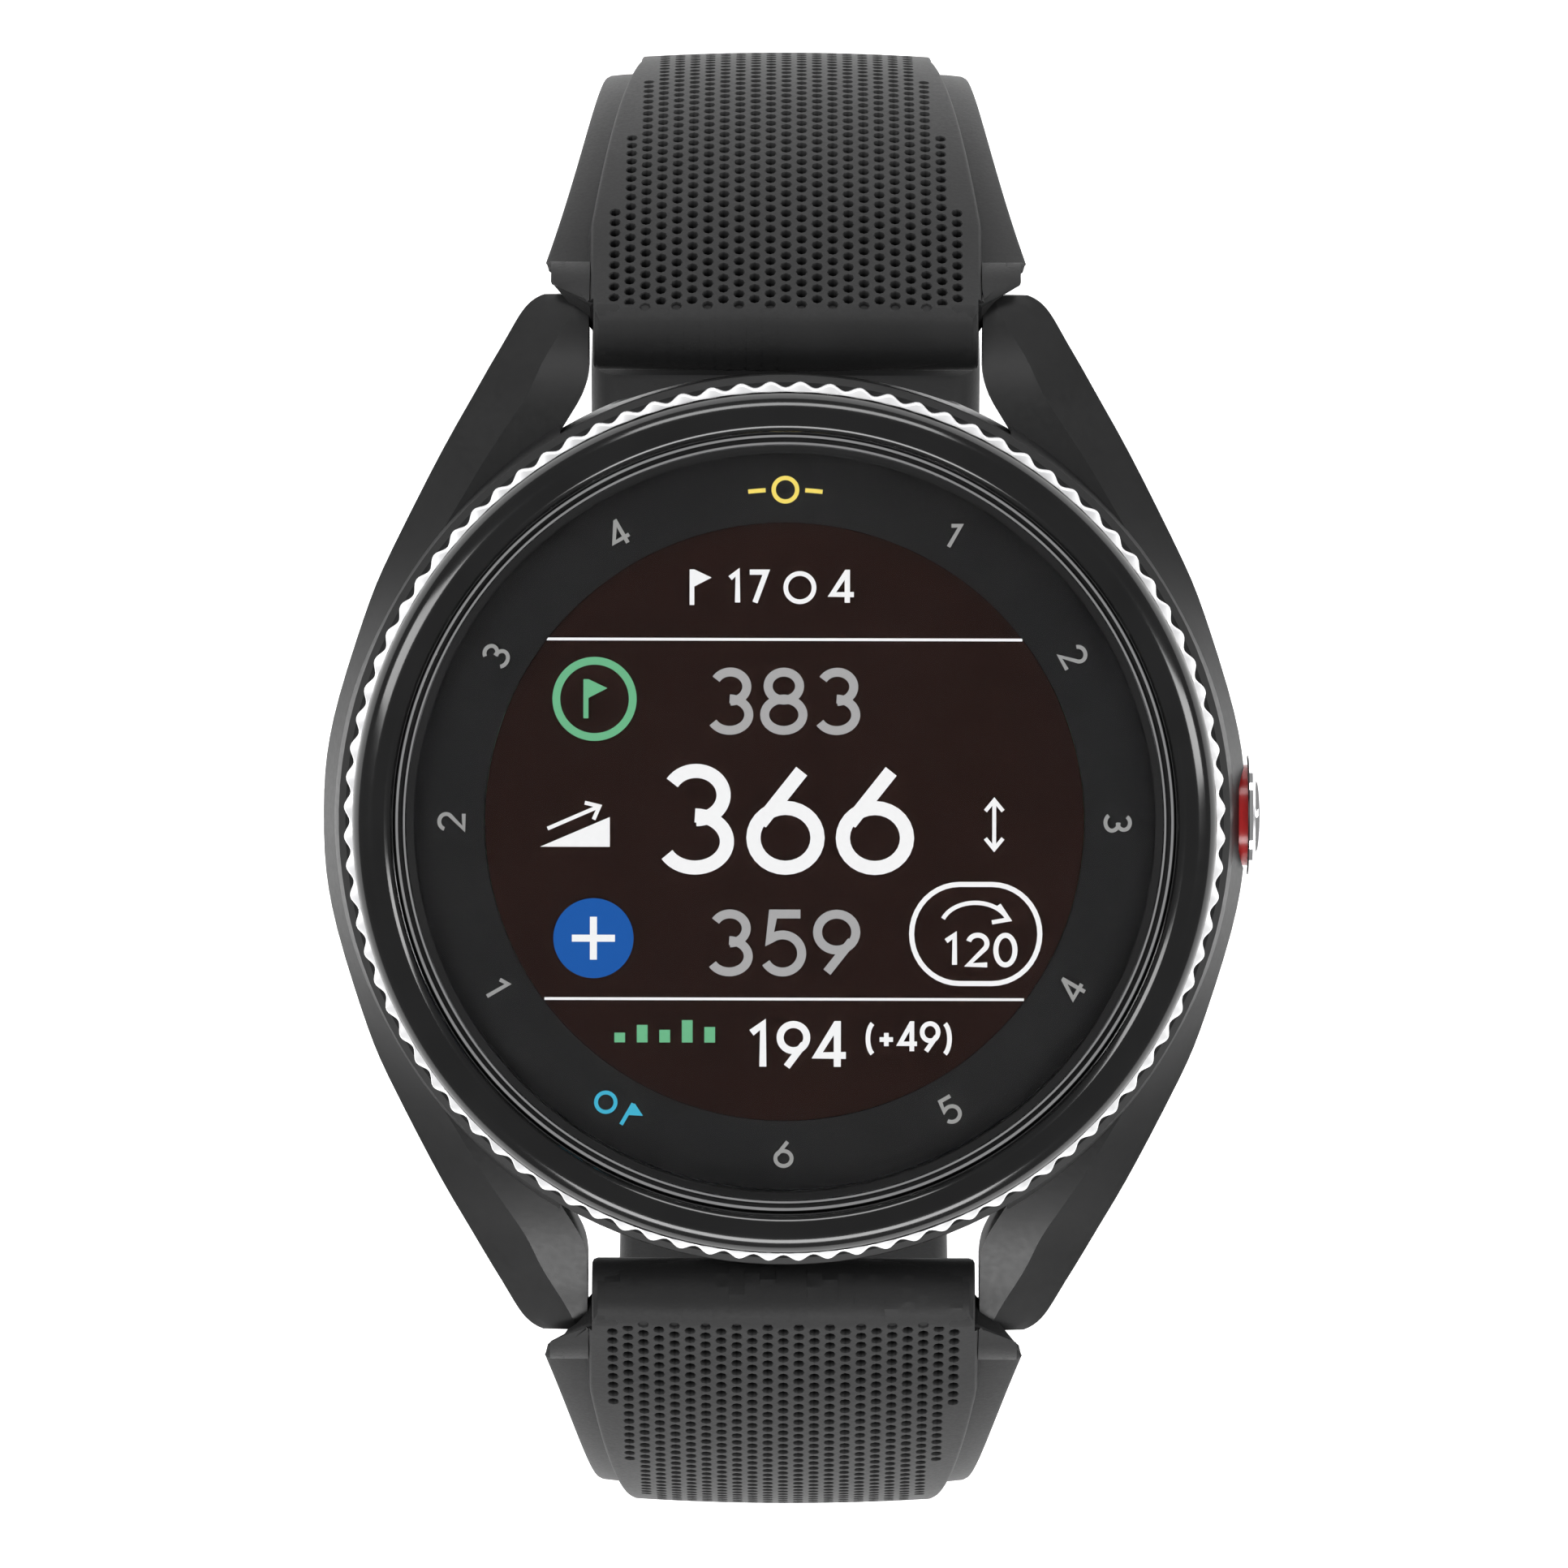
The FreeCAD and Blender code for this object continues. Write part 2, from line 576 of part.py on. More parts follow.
def strap_knuckle(route):
    """The root that fills the gap between the lugs and turns on the spring bar."""
    half = size("knuckle_half")
    bar = Vector(0, size("bar_reach"), size("bar_height"))
    nose = Vector(0, size("nose_reach"), size("nose_height"))
    slope = math.radians(size("strap_slope"))
    outward = Vector(0, math.sin(slope), math.cos(slope))
    knuckle, round_nose = size("knuckle_radius"), size("nose_radius")
    near_end = route.frame(1.2)
    corners = [
        nose + Vector(0, -round_nose, -0.4), bar + Vector(0, -knuckle, -0.2),
        bar + Vector(0, 0, -knuckle), bar + Vector(0, 1.35, -1.6),
        near_end.multVec(Vector(0, 0, -1)), near_end.multVec(Vector(0, 0, -0.02)),
        nose + outward * round_nose, nose,
    ]
    across = Vector(-half, 0, 0)
    corners = [corner + across for corner in corners]
    web = Part.Face(Part.makePolygon(corners + corners[:1])).extrude(Vector(2 * half, 0, 0))
    rounds = [
        Part.makeCylinder(radius, 2 * half, centre + across, X_AXIS)
        for radius, centre in ((knuckle, bar), (round_nose, nose))
    ]
    return web.fuse(rounds)


def strap_blank(route, squeezes):
    """Lofted strap and knuckle, cut to clear the lugs and the spring bar."""
    last = route.length - sum(gap for gap, _ in squeezes)
    stations = [0.6, 3, 6, 10, 14, 18, 22, 26, 30]
    count = int((last - stations[-1]) / 8) + 1
    stations += [30 + (last - 30) * (i + 1) / count for i in range(count)]
    sections = [strap_section(route, station) for station in stations]
    distance = last
    for gap, squeeze in squeezes:
        distance += gap
        sections.append(strap_section(route, distance, squeeze))
    strap = Part.makeLoft(sections, True, False)
    strap = strap.fuse(strap_knuckle(route))
    bar = Vector(0, size("bar_reach"), size("bar_height"))
    half = size("knuckle_half")
    tools = [Part.makeCylinder(size("bar_radius"), 4 * half, bar - Vector(2 * half, 0, 0), X_AXIS)]
    for start in (-half - 6, half):
        tools.append(Part.makeCylinder(
            size("cove_radius"), 6, bar + Vector(start, 0, 0), X_AXIS))
    lever_room = Part.makeBox(2.8, 1.5, 4, bar + Vector(-7.7, -0.75, -4))
    tools.append(lever_room)
    return strap.cut(tools)


def half_turn(shape, side):
    """Leaves the 12 o'clock side alone and turns a shape to the 6 o'clock side."""
    if side < 0:
        shape = shape.copy()
        shape.rotate(Vector(), Z_AXIS, 180)
    return shape


def strap_tail(route):
    """The half with adjustment holes, on the 6 o'clock side."""
    shape = strap_blank(route, ((3.5, 0.86), (1.8, 0.6)))
    pins = []
    for index in range(int(size("adjust_holes"))):
        place = route.frame(route.length - 14 - index * size("adjust_pitch"))
        pin = Part.makeCylinder(size("adjust_radius"), 8, Vector(0, 0, -6))
        pin.Placement = place
        pins.append(pin)
    shape = half_turn(shape.cut(pins), -1)
    made("strap_tail_half", Part.Solid(shape.removeSplitter().Solids[0]))


def buckle_place(route):
    """Frame at the buckle bar's centre, in the middle of the strap's thickness."""
    place = route.frame(route.length)
    place.Base = place.multVec(Vector(0, 0, -size("strap_thickness") / 2))
    return place


def across_rod(radius, first, last, along=0.0, out=0.0):
    """A rod across the strap in a strap frame, between two places across it."""
    return Part.makeCylinder(radius, last - first, Vector(along, first, out), Vector(0, 1, 0))


def strap_buckle_half(route):
    half = size("strap_end_half")
    place = buckle_place(route)
    loop = across_rod(1.75, -half, half)
    loop.Placement = place
    bore = across_rod(size("buckle_bar_radius") + 0.05, -half - 1, half + 1)
    bore.Placement = place
    notch_half = size("tang_notch_half")
    notch = Part.makeBox(8, 2 * notch_half, 8, Vector(-2.6, -notch_half, -4))
    notch.Placement = place
    shape = strap_blank(route, ((0.4, 1.0),)).fuse(loop).cut([bore, notch])
    made("strap_buckle_half", Part.Solid(shape.removeSplitter().Solids[0]))


def keeper(label, route):
    """A loop round both strap layers, its inner floor a little below the strap."""
    back, drop = size(label + "_back"), size(label + "_drop")
    width, length = size("keeper_width"), size("keeper_length")
    wall, room = size("keeper_wall"), size("keeper_room")
    floor = -size("strap_thickness") - drop
    outer = Part.makeBox(length, width, room + 2 * wall,
                         Vector(-length / 2, -width / 2, floor - wall))
    rounded = outer.makeFillet(wall, [e for e in outer.Edges if e.BoundBox.XLength > length / 2])
    inner = Part.makeBox(3 * length, width - 2 * wall, room,
                         Vector(-1.5 * length, wall - width / 2, floor))
    made(label, rounded.cut(inner), route.frame(route.length - back))


def buckle(route):
    place = buckle_place(route)
    inner, outer = size("buckle_arm_inner"), size("buckle_arm_outer")
    wire, reach = size("buckle_wire"), size("buckle_length")
    bar_radius, bar_half = size("buckle_bar_radius"), size("buckle_bar_half")
    arm_width = outer - inner
    pieces = [across_rod(wire, -outer, outer, reach - wire)]
    for start in (inner, -outer):
        pieces.append(Part.makeBox(
            reach - wire, arm_width, 2 * wire, Vector(0, start, -wire)))
        pieces.append(across_rod(wire, start, start + arm_width))
    frame = pieces[0].fuse(pieces[1:]).cut(across_rod(bar_radius, -bar_half, bar_half))
    made("buckle_frame", frame.removeSplitter(), place)
    made("buckle_bar", across_rod(bar_radius, -bar_half, bar_half), place)
    tang_half = size("tang_notch_half") - 0.2
    tang = size("tang_radius")
    lift = math.atan2(wire + tang + 0.15, reach - wire)
    heading = Vector(math.cos(lift), 0, math.sin(lift))
    rod = Part.makeCylinder(tang, reach + 0.4, Vector(), heading)
    eye = across_rod(bar_radius + 0.6, -tang_half, tang_half)
    bore = across_rod(bar_radius + 0.05, -2, 2)
    made("buckle_tang", rod.fuse(eye).cut(bore).removeSplitter(), place)


def spring_bar(name, side):
    """Quick-release spring bar: a tube, two tips, a lever on one tip and a spring."""
    reach, level = size("bar_reach"), size("bar_height")
    tip = size("tip_radius")
    end = size("lug_gap_half") + 1.2
    tube_half = size("knuckle_half") - 0.1
    moving_end, fixed_end = size("bar_moving_end"), size("bar_fixed_end")
    lever_x = size("bar_lever")

    def rod(radius, first, last):
        return side_rods(radius, first, last, reach, level)[0]

    tube = rod(size("bar_radius"), -tube_half, tube_half)
    slot = Part.makeBox(2.3, 0.9, 2, Vector(lever_x - 0.45, reach - 0.45, level - 2))
    tube = tube.cut([rod(size("bar_bore_radius"), -tube_half - 1, tube_half + 1), slot])
    lever = Part.makeCylinder(0.35, 3, Vector(lever_x, reach, level), Vector(0, 0, -1))
    spring = coil(0.31, 0.07, 0.75, fixed_end - moving_end - 0.1)
    spring.Placement = FreeCAD.Placement(
        Vector(moving_end + 0.05, reach, level), FreeCAD.Rotation(Vector(0, 1, 0), 90))
    parts = {
        "tube": tube,
        "moving_tip": rod(tip, -end, moving_end).fuse(lever),
        "fixed_tip": rod(tip, fixed_end, end),
        "spring": spring,
    }
    for part_name, shape in parts.items():
        made("%s_%s" % (name, part_name), half_turn(shape, side))


def check_document():
    doc.recompute()
    for obj in doc.Objects:
        bad_state = {"Invalid", "Error"} & set(obj.State)
        if bad_state:
            raise RuntimeError("%s: %s" % (obj.Name, obj.State))
    for obj in nodes:
        if obj.Shape.isNull() or not obj.Shape.isValid():
            raise RuntimeError("bad shape: " + obj.Label)


def export():
    os.makedirs("parts", exist_ok=True)
    for obj in nodes:
        obj.Shape.exportStep(os.path.join("parts", obj.Label + ".step"))


mid_case()
case_back()
case_screws()
charging_contacts()
display_stack()
bezel_ring()
grip_ring()
click_spring()
electronics()
vibration_motor()
push_button()
spring_bar("spring_bar_12", 1)
spring_bar("spring_bar_6", -1)
buckle_route = Route(size("buckle_arc"), size("buckle_turn"), size("buckle_run"))
tail_route = Route(size("tail_arc"), size("tail_turn"), 0.0)
strap_buckle_half(buckle_route)
strap_tail(tail_route)
keeper("keeper_fixed", buckle_route)
keeper("keeper_sliding", buckle_route)
buckle(buckle_route)
check_document()
export()
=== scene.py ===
"""The looks of the golf GPS watch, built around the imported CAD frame. Metres throughout."""
import math

import bmesh
import bpy
from mathutils import Matrix, Vector


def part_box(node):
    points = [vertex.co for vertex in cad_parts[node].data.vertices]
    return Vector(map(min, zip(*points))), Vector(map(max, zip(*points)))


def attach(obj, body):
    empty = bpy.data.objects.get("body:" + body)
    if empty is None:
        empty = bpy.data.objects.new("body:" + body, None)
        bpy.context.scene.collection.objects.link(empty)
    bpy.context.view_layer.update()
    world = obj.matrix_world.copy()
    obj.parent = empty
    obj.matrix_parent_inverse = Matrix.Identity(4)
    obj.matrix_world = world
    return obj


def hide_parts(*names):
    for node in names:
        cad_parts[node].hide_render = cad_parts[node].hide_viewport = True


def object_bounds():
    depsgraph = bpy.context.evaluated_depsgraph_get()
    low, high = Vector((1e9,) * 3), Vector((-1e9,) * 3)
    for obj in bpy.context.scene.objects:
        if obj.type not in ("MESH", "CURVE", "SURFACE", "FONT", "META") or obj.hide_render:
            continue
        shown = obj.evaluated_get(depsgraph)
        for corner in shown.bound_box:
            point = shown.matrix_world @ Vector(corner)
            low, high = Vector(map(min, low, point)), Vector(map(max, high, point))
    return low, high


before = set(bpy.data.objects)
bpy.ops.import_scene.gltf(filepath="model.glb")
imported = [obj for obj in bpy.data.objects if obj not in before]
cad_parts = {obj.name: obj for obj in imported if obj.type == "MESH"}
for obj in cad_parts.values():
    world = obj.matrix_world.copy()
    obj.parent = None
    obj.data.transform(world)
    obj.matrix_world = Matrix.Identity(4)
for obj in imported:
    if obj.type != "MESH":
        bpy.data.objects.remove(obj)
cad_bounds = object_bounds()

MM = 0.001
TURN = 2 * math.pi


# ---------------------------------------------------------------- materials

class Surface:
    """A Principled material with small helpers for its procedural nodes."""

    def __init__(self, name):
        self.material = bpy.data.materials.new(name)
        self.material.use_nodes = True
        self.tree = self.material.node_tree
        self.shader = self.tree.nodes["Principled BSDF"]
        self.where = self.node("ShaderNodeTexCoord").outputs["Object"]

    def node(self, kind, **settings):
        made = self.tree.nodes.new(kind)
        for key, value in settings.items():
            setattr(made, key, value)
        return made

    def link(self, start, end):
        self.tree.links.new(start, end)

    def set(self, **values):
        for key, value in values.items():
            self.shader.inputs[key.replace("_", " ")].default_value = value
        return self

    def noise(self, scale, detail=3.0, stretch=(1, 1, 1)):
        """Noise whose scale is in features per metre."""
        mapping = self.node("ShaderNodeMapping")
        mapping.inputs["Scale"].default_value = stretch
        self.link(self.where, mapping.inputs["Vector"])
        noise = self.node("ShaderNodeTexNoise")
        noise.inputs["Scale"].default_value = scale
        noise.inputs["Detail"].default_value = detail
        self.link(mapping.outputs["Vector"], noise.inputs["Vector"])
        return noise.outputs["Fac"]

    def colours(self, factor, dark, light, low=0.3, high=0.7):
        """Base colour between two tones, driven by a factor."""
        ramp = self.node("ShaderNodeValToRGB")
        ramp.color_ramp.elements[0].position = low
        ramp.color_ramp.elements[1].position = high
        ramp.color_ramp.elements[0].color = (*dark, 1)
        ramp.color_ramp.elements[1].color = (*light, 1)
        self.link(factor, ramp.inputs["Fac"])
        self.link(ramp.outputs["Color"], self.shader.inputs["Base Color"])
        return self

    def roughness(self, factor, low, high):
        span = self.node("ShaderNodeMapRange")
        span.inputs["To Min"].default_value = low
        span.inputs["To Max"].default_value = high
        self.link(factor, span.inputs["Value"])
        self.link(span.outputs["Result"], self.shader.inputs["Roughness"])
        return self

    def bump(self, factor, distance, strength=1.0):
        bump = self.node("ShaderNodeBump")
        bump.inputs["Strength"].default_value = strength
        bump.inputs["Distance"].default_value = distance
        self.link(factor, bump.inputs["Height"])
        self.link(bump.outputs["Normal"], self.shader.inputs["Normal"])
        return self


def grey(level):
    return (level, level, level * 1.03)


def moulded(name, dark, light, rough=(0.38, 0.5), grain=2600.0, depth=0.00001, specular=0.5):
    """Moulded plastic: a fine spark-eroded grain and slow changes of tone."""
    skin = Surface(name)
    skin.set(Specular_IOR_Level=specular)
    skin.colours(skin.noise(140.0), dark, light)
    fine = skin.noise(grain, 2.0)
    skin.roughness(fine, *rough)
    skin.bump(fine, depth, 0.35)
    return skin.material


def silicone(name):
    """Soft matte silicone: dusty grain and a faint sheen."""
    skin = Surface(name)
    skin.set(Specular_IOR_Level=0.28, Sheen_Weight=0.03, Sheen_Roughness=0.5)
    skin.colours(skin.noise(220.0), grey(0.008), grey(0.011))
    fine = skin.noise(5200.0, 4.0)
    skin.roughness(fine, 0.5, 0.66)
    skin.bump(fine, 0.00002, 0.5)
    return skin.material


def polished(name, dark, light, rough=(0.05, 0.1), metal=1.0, coat=0.0):
    skin = Surface(name)
    skin.set(Metallic=metal, Coat_Weight=coat, Coat_Roughness=0.03)
    skin.colours(skin.noise(300.0), dark, light)
    smear = skin.noise(900.0, 4.0)
    skin.roughness(smear, *rough)
    skin.bump(smear, 0.000002, 0.15)
    return skin.material


def brushed(name, dark, light, stretch=(30, 1, 1), rough=(0.22, 0.36)):
    skin = Surface(name)
    skin.set(Metallic=1.0)
    hair = skin.noise(1500.0, 4.0, stretch)
    skin.colours(hair, dark, light)
    skin.roughness(hair, *rough)
    skin.bump(hair, 0.000004, 0.3)
    return skin.material


def clear_glass(name):
    skin = Surface(name)
    skin.set(Transmission_Weight=1.0, IOR=1.12, Specular_IOR_Level=0.2)
    skin.colours(skin.noise(80.0), (0.97, 0.98, 0.99), (1, 1, 1))
    skin.roughness(skin.noise(500.0), 0.0, 0.01)
    return skin.material


def translucent(name, dark, light):
    skin = Surface(name)
    skin.set(Transmission_Weight=0.25, IOR=1.45, Subsurface_Weight=0.2)
    skin.shader.inputs["Subsurface Radius"].default_value = (0.002, 0.0004, 0.0003)
    skin.colours(skin.noise(700.0), dark, light)
    skin.roughness(skin.noise(2400.0), 0.18, 0.3)
    return skin.material


def lit(name, colour, strength=1.0):
    """A lit area of the display, with the slight unevenness of its pixels. The scale ring's printed marks
    also use it, so their ink glows: painted light.
    """
    skin = Surface(name)
    skin.set(Specular_IOR_Level=0.0, Emission_Strength=strength)
    skin.shader.inputs["Roughness"].default_value = 0.9
    shimmer = skin.noise(4200.0, 1.0)
    ramp = skin.node("ShaderNodeValToRGB")
    ramp.color_ramp.elements[0].color = (*[c * 0.93 for c in colour], 1)
    ramp.color_ramp.elements[1].color = (*colour, 1)
    skin.link(shimmer, ramp.inputs["Fac"])
    skin.link(ramp.outputs["Color"], skin.shader.inputs["Emission Color"])
    skin.shader.inputs["Base Color"].default_value = (0, 0, 0, 1)
    return skin.material


def linear(red, green, blue):
    """Screen colour values, 0 to 255, as linear light."""
    return tuple(((value / 255 + 0.055) / 1.055) ** 2.4 if value > 10 else value / 255 / 12.92
                 for value in (red, green, blue))


CASE_BLACK = moulded("case_satin_black", grey(0.005), grey(0.008), (0.32, 0.44), 3000.0,
                     specular=0.35)
BACK_BLACK = moulded("back_matte_black", grey(0.014), grey(0.02), (0.45, 0.6), 2200.0, 0.00002)
BEZEL_BLACK = polished("bezel_gloss_black", grey(0.004), grey(0.006), (0.1, 0.16), 0.0, 0.0)
CHROME = polished("chrome_polished", (0.78, 0.78, 0.79), (0.88, 0.88, 0.89), (0.04, 0.1))
GRIP_STEEL = polished("grip_steel", (0.9, 0.9, 0.91), (0.97, 0.97, 0.98), (0.34, 0.46), 0.55)
STEEL = brushed("bar_steel_turned", (0.5, 0.5, 0.52), (0.68, 0.68, 0.7), (1, 30, 30))
WIRE = brushed("spring_steel_drawn", (0.4, 0.4, 0.42), (0.6, 0.6, 0.62))
BUCKLE_STEEL = brushed("buckle_dark_brushed", (0.07, 0.07, 0.075), (0.12, 0.12, 0.125), (1, 25, 25))
GLASS = clear_glass("crystal_clear")
RED = translucent("collar_red", (0.5, 0.012, 0.014), (0.66, 0.02, 0.02))
SILICONE = silicone("strap_silicone_matte")
SEAL = moulded("seal_black_rubber", grey(0.006), grey(0.01), (0.5, 0.65), 4000.0, 0.00001, 0.2)
SCREEN = moulded("screen_dark", linear(34, 23, 20), linear(36, 25, 22), (0.5, 0.6), 3000.0, 0.000001, 0.0)
SCALE = moulded("scale_matte_black", linear(34, 34, 34), linear(37, 37, 37), (0.6, 0.7),
                3000.0, 0.000004, 0.0)
BOARD = moulded("board_solder_mask", (0.01, 0.1, 0.04), (0.015, 0.14, 0.06), (0.25, 0.4))
BATTERY = moulded("battery_film", (0.05, 0.06, 0.09), (0.07, 0.08, 0.11), (0.2, 0.35))
CERAMIC = moulded("antenna_ceramic_body", (0.55, 0.48, 0.32), (0.62, 0.55, 0.38), (0.5, 0.6))
INNER = moulded("inner_black_plastic", grey(0.03), grey(0.045), (0.45, 0.6))
BRASS = brushed("rotor_brass_turned", (0.55, 0.4, 0.15), (0.72, 0.55, 0.25))

CARRIED_OVER = (
    (CASE_BLACK, "mid_case"),
    (BACK_BLACK, "case_back"),
    (CHROME, "charging_contacts"),
    (STEEL, "case_screws", "spring_bar_12_tube", "spring_bar_12_fixed_tip",
     "spring_bar_12_moving_tip", "spring_bar_6_tube", "spring_bar_6_fixed_tip",
     "spring_bar_6_moving_tip"),
    (WIRE, "bezel_click_spring", "button_spring", "button_clip", "button_stem", "button_tube",
     "spring_bar_12_spring", "spring_bar_6_spring", "shield_can", "motor_housing",
     "pressure_sensor", "button_switch"),
    (SEAL, "back_gasket", "glass_gasket", "button_o_ring", "battery_pad"),
    (SCREEN, "display_panel"),
    (SCALE, "scale_ring"),
    (BOARD, "main_board"),
    (BATTERY, "battery"),
    (CERAMIC, "gps_antenna"),
    (INNER, "display_frame", "contact_block", "buzzer", "display_cable"),
    (BRASS, "motor_rotor"),
    (BUCKLE_STEEL, "buckle_bar"),
)


def dress_cad_nodes():
    for material, *names in CARRIED_OVER:
        for name in names:
            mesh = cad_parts[name].data
            mesh.materials.clear()
            mesh.materials.append(material)


# ---------------------------------------------------------------- mesh helpers

def add_piece(name, vertices, faces, material, body, replaces=(), smooth=35.0):
    """A mesh object that rides on a body, with vertices given in millimetres."""
    mesh = bpy.data.meshes.new(name)
    mesh.from_pydata([Vector(v) * MM for v in vertices], [], faces)
    work = bmesh.new()
    work.from_mesh(mesh)
    bmesh.ops.remove_doubles(work, verts=work.verts, dist=1e-6)
    bmesh.ops.dissolve_degenerate(work, edges=work.edges, dist=1e-6)
    loose = [v for v in work.verts if not v.link_faces]
    bmesh.ops.delete(work, geom=loose, context="VERTS")
    bmesh.ops.recalc_face_normals(work, faces=work.faces)
    work.to_mesh(mesh)
    work.free()
    mesh.materials.append(material)
    mesh.shade_smooth()
    mesh.set_sharp_from_angle(angle=math.radians(smooth))
    piece = bpy.data.objects.new(name, mesh)
    bpy.context.scene.collection.objects.link(piece)
    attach(piece, body)
    if replaces:
        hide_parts(*replaces)
    return piece


def rings_to_faces(rings, count, closed=True):
    """Quads between neighbouring rings of count points each; closed joins last to first."""
    faces = []
    for i in range(rings if closed else rings - 1):
        for j in range(count):
            a = i * count + j
            b = i * count + (j + 1) % count
            after = ((i + 1) % rings) * count
            faces.append((a, b, after + (j + 1) % count, after + j))
    return faces


def lathe(name, profile, material, body, replaces=(), segments=240, along_x=None):
    """Turns a closed outline of (radius, height) about Z, or about X at a given height."""
    vertices = []
    for i in range(segments):
        angle = TURN * i / segments
        for radius, height in profile:
            x, y, z = radius * math.cos(angle), radius * math.sin(angle), height
            if along_x is not None:
                x, y, z = height, radius * math.cos(angle), along_x + radius * math.sin(angle)
            vertices.append((x, y, z))
    faces = rings_to_faces(segments, len(profile))
    return add_piece(name, vertices, faces, material, body, replaces)


def arc(centre, radii, start, end, steps=8):
    """Points of an elliptical arc, angles in degrees."""
    points = []
    for i in range(steps + 1):
        angle = math.radians(start + (end - start) * i / steps)
        points.append((centre[0] + radii[0] * math.cos(angle), centre[1] + radii[1] * math.sin(angle)))
    return points


def cad_mm(node):
    """A CAD node's box in millimetres: lowest and highest corners."""
    low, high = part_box(node)
    return Vector(low) / MM, Vector(high) / MM


# ---------------------------------------------------------------- bezel, rings and glass

def bezel():
    low, high = cad_mm("bezel_ring")
    outer, base, crest = high.x, low.z, high.z
    inner = cad_mm("trim_ring")[1].x + 0.07
    profile = [(inner, base), (outer - 0.05, base)]
    profile += arc((outer - 1.25, crest - 1.25), (1.25, 1.25), 0, 90, 14)
    profile += arc((inner + 0.6, crest - 0.6), (0.6, 0.6), 90, 180, 10)
    lathe("bezel_gloss_ring", profile, BEZEL_BLACK, "bezel", ["bezel_ring"], 320)


def grip():
    """Rounded teeth round the bezel's lower edge."""
    low, high = cad_mm("bezel_grip_ring")
    tip, base, top = high.x, low.z, high.z
    teeth, samples, depth = 92, 10, 0.3
    heights = (base, base + 0.1, top - 0.14, top - 0.04, top)
    insets = (0.1, 0.0, 0.0, 0.04, 0.14)
    vertices = []
    count = teeth * samples
    inner = tip - 1.2
    for height, inset in zip(heights, insets):
        for i in range(count):
            phase = (i % samples) / samples
            scallop = depth * (0.5 + 0.5 * math.cos(TURN * phase))
            radius = tip - inset - scallop
            angle = TURN * i / count
            vertices.append((radius * math.cos(angle), radius * math.sin(angle), height))
    for height in (top, base):
        for i in range(count):
            angle = TURN * i / count
            vertices.append((inner * math.cos(angle), inner * math.sin(angle), height))
    faces = rings_to_faces(len(heights) + 2, count)
    add_piece("bezel_grip_teeth", vertices, faces, GRIP_STEEL, "bezel",
              ["bezel_grip_ring"], 50.0)


def trim():
    """Two bright lips with a groove between them; a dark ring laid in the groove floor is painted shade.
    """
    low, high = cad_mm("trim_ring")
    outer, base, top = high.x, low.z, high.z
    inner = outer - 0.6
    groove = 0.32
    profile = [(inner, base), (outer, base), (outer, top - 0.06), (outer - 0.06, top),
               (outer - 0.18, top), (outer - 0.22, top - 0.05), (outer - 0.22, top - groove),
               (inner + 0.2, top - groove), (inner + 0.2, top - 0.05), (inner + 0.16, top),
               (inner + 0.06, top), (inner, top - 0.06)]
    lathe("trim_double_lip", profile, CHROME, "case", ["trim_ring"], 320)
    # A dark ring laid in the groove floor paints the groove's shade.
    fill = [(inner + 0.2, top - groove - 0.05), (outer - 0.22, top - groove - 0.05),
            (outer - 0.22, top - groove + 0.1), (inner + 0.2, top - groove + 0.1)]
    lathe("trim_groove_painted_shade", fill, SEAL, "case", (), 240)


def crystal():
    low, high = cad_mm("glass")
    radius, base, top = high.x, low.z, high.z
    profile = [(0.0, base), (radius, base), (radius, top - 0.12), (radius - 0.12, top), (0.0, top)]
    lathe("crystal_disc", profile, GLASS, "case", ["glass"], 240)


def button():
    low, high = cad_mm("button_head")
    centre = (low.z + high.z) / 2
    radius = (high.z - low.z) / 2
    rim, crown = low.x, high.x
    profile = [(0.0, rim), (radius - 0.08, rim), (radius, rim + 0.08), (radius, rim + 0.26),
               (radius - 0.12, rim + 0.38), (radius - 0.45, rim + 0.4)]
    profile += arc((0.0, rim + 0.42), (radius - 0.5, crown - rim - 0.42), 0, 90, 14)
    lathe("button_cap", profile, CHROME, "button", ["button_head"], 96, centre)
    low, high = cad_mm("button_collar")
    red = (high.z - low.z) / 2
    collar = [(1.0, low.x), (red - 0.05, low.x), (red, low.x + 0.05), (red, high.x), (1.0, high.x)]
    lathe("button_red_collar", collar, RED, "button", ["button_collar"], 96, centre)


# ---------------------------------------------------------------- strap

SLOPE = math.radians(48.3)
ROUTE_START = (26.32, 9.0)
SHOULDER_ARC = 35.3
NOSE_ARC = 2.0
PITCH = 0.8
HOLE_RADIUS = 0.26
HOLE_DEPTH = 0.55
PANEL_STEP = 0.9
PANEL_HALF = 9.85
PANEL_LOSS = 2.35
PANEL_TAPER = (6.5, 21.5)
STRAP_END_HALF = 8.95
STRAP_THICKNESS = 2.4
ROOT_EXTRA = 0.8
FADE = 16
KNUCKLE_RADIUS = 2.1
ADJUST_HOLES = 7
ADJUST_PITCH = 6
ADJUST_RADIUS = 1.1
ADJUST_FROM_END = 14
BAR = (25.5, 5.5)
COVE = 2.2
COVE_BELOW = 2.85
LUG_INNER = 10.06
FLARE_START = 0.9
FLARE_HALF = 12.45
FLARE_CORNER = 0.3
FLARE_SLOPE = 0.4
FLARE_EXTRA = 4.67
FLARE_FADE = 14.9
NOSE_ROWS = 7
HOLE_MARGIN = 0.95


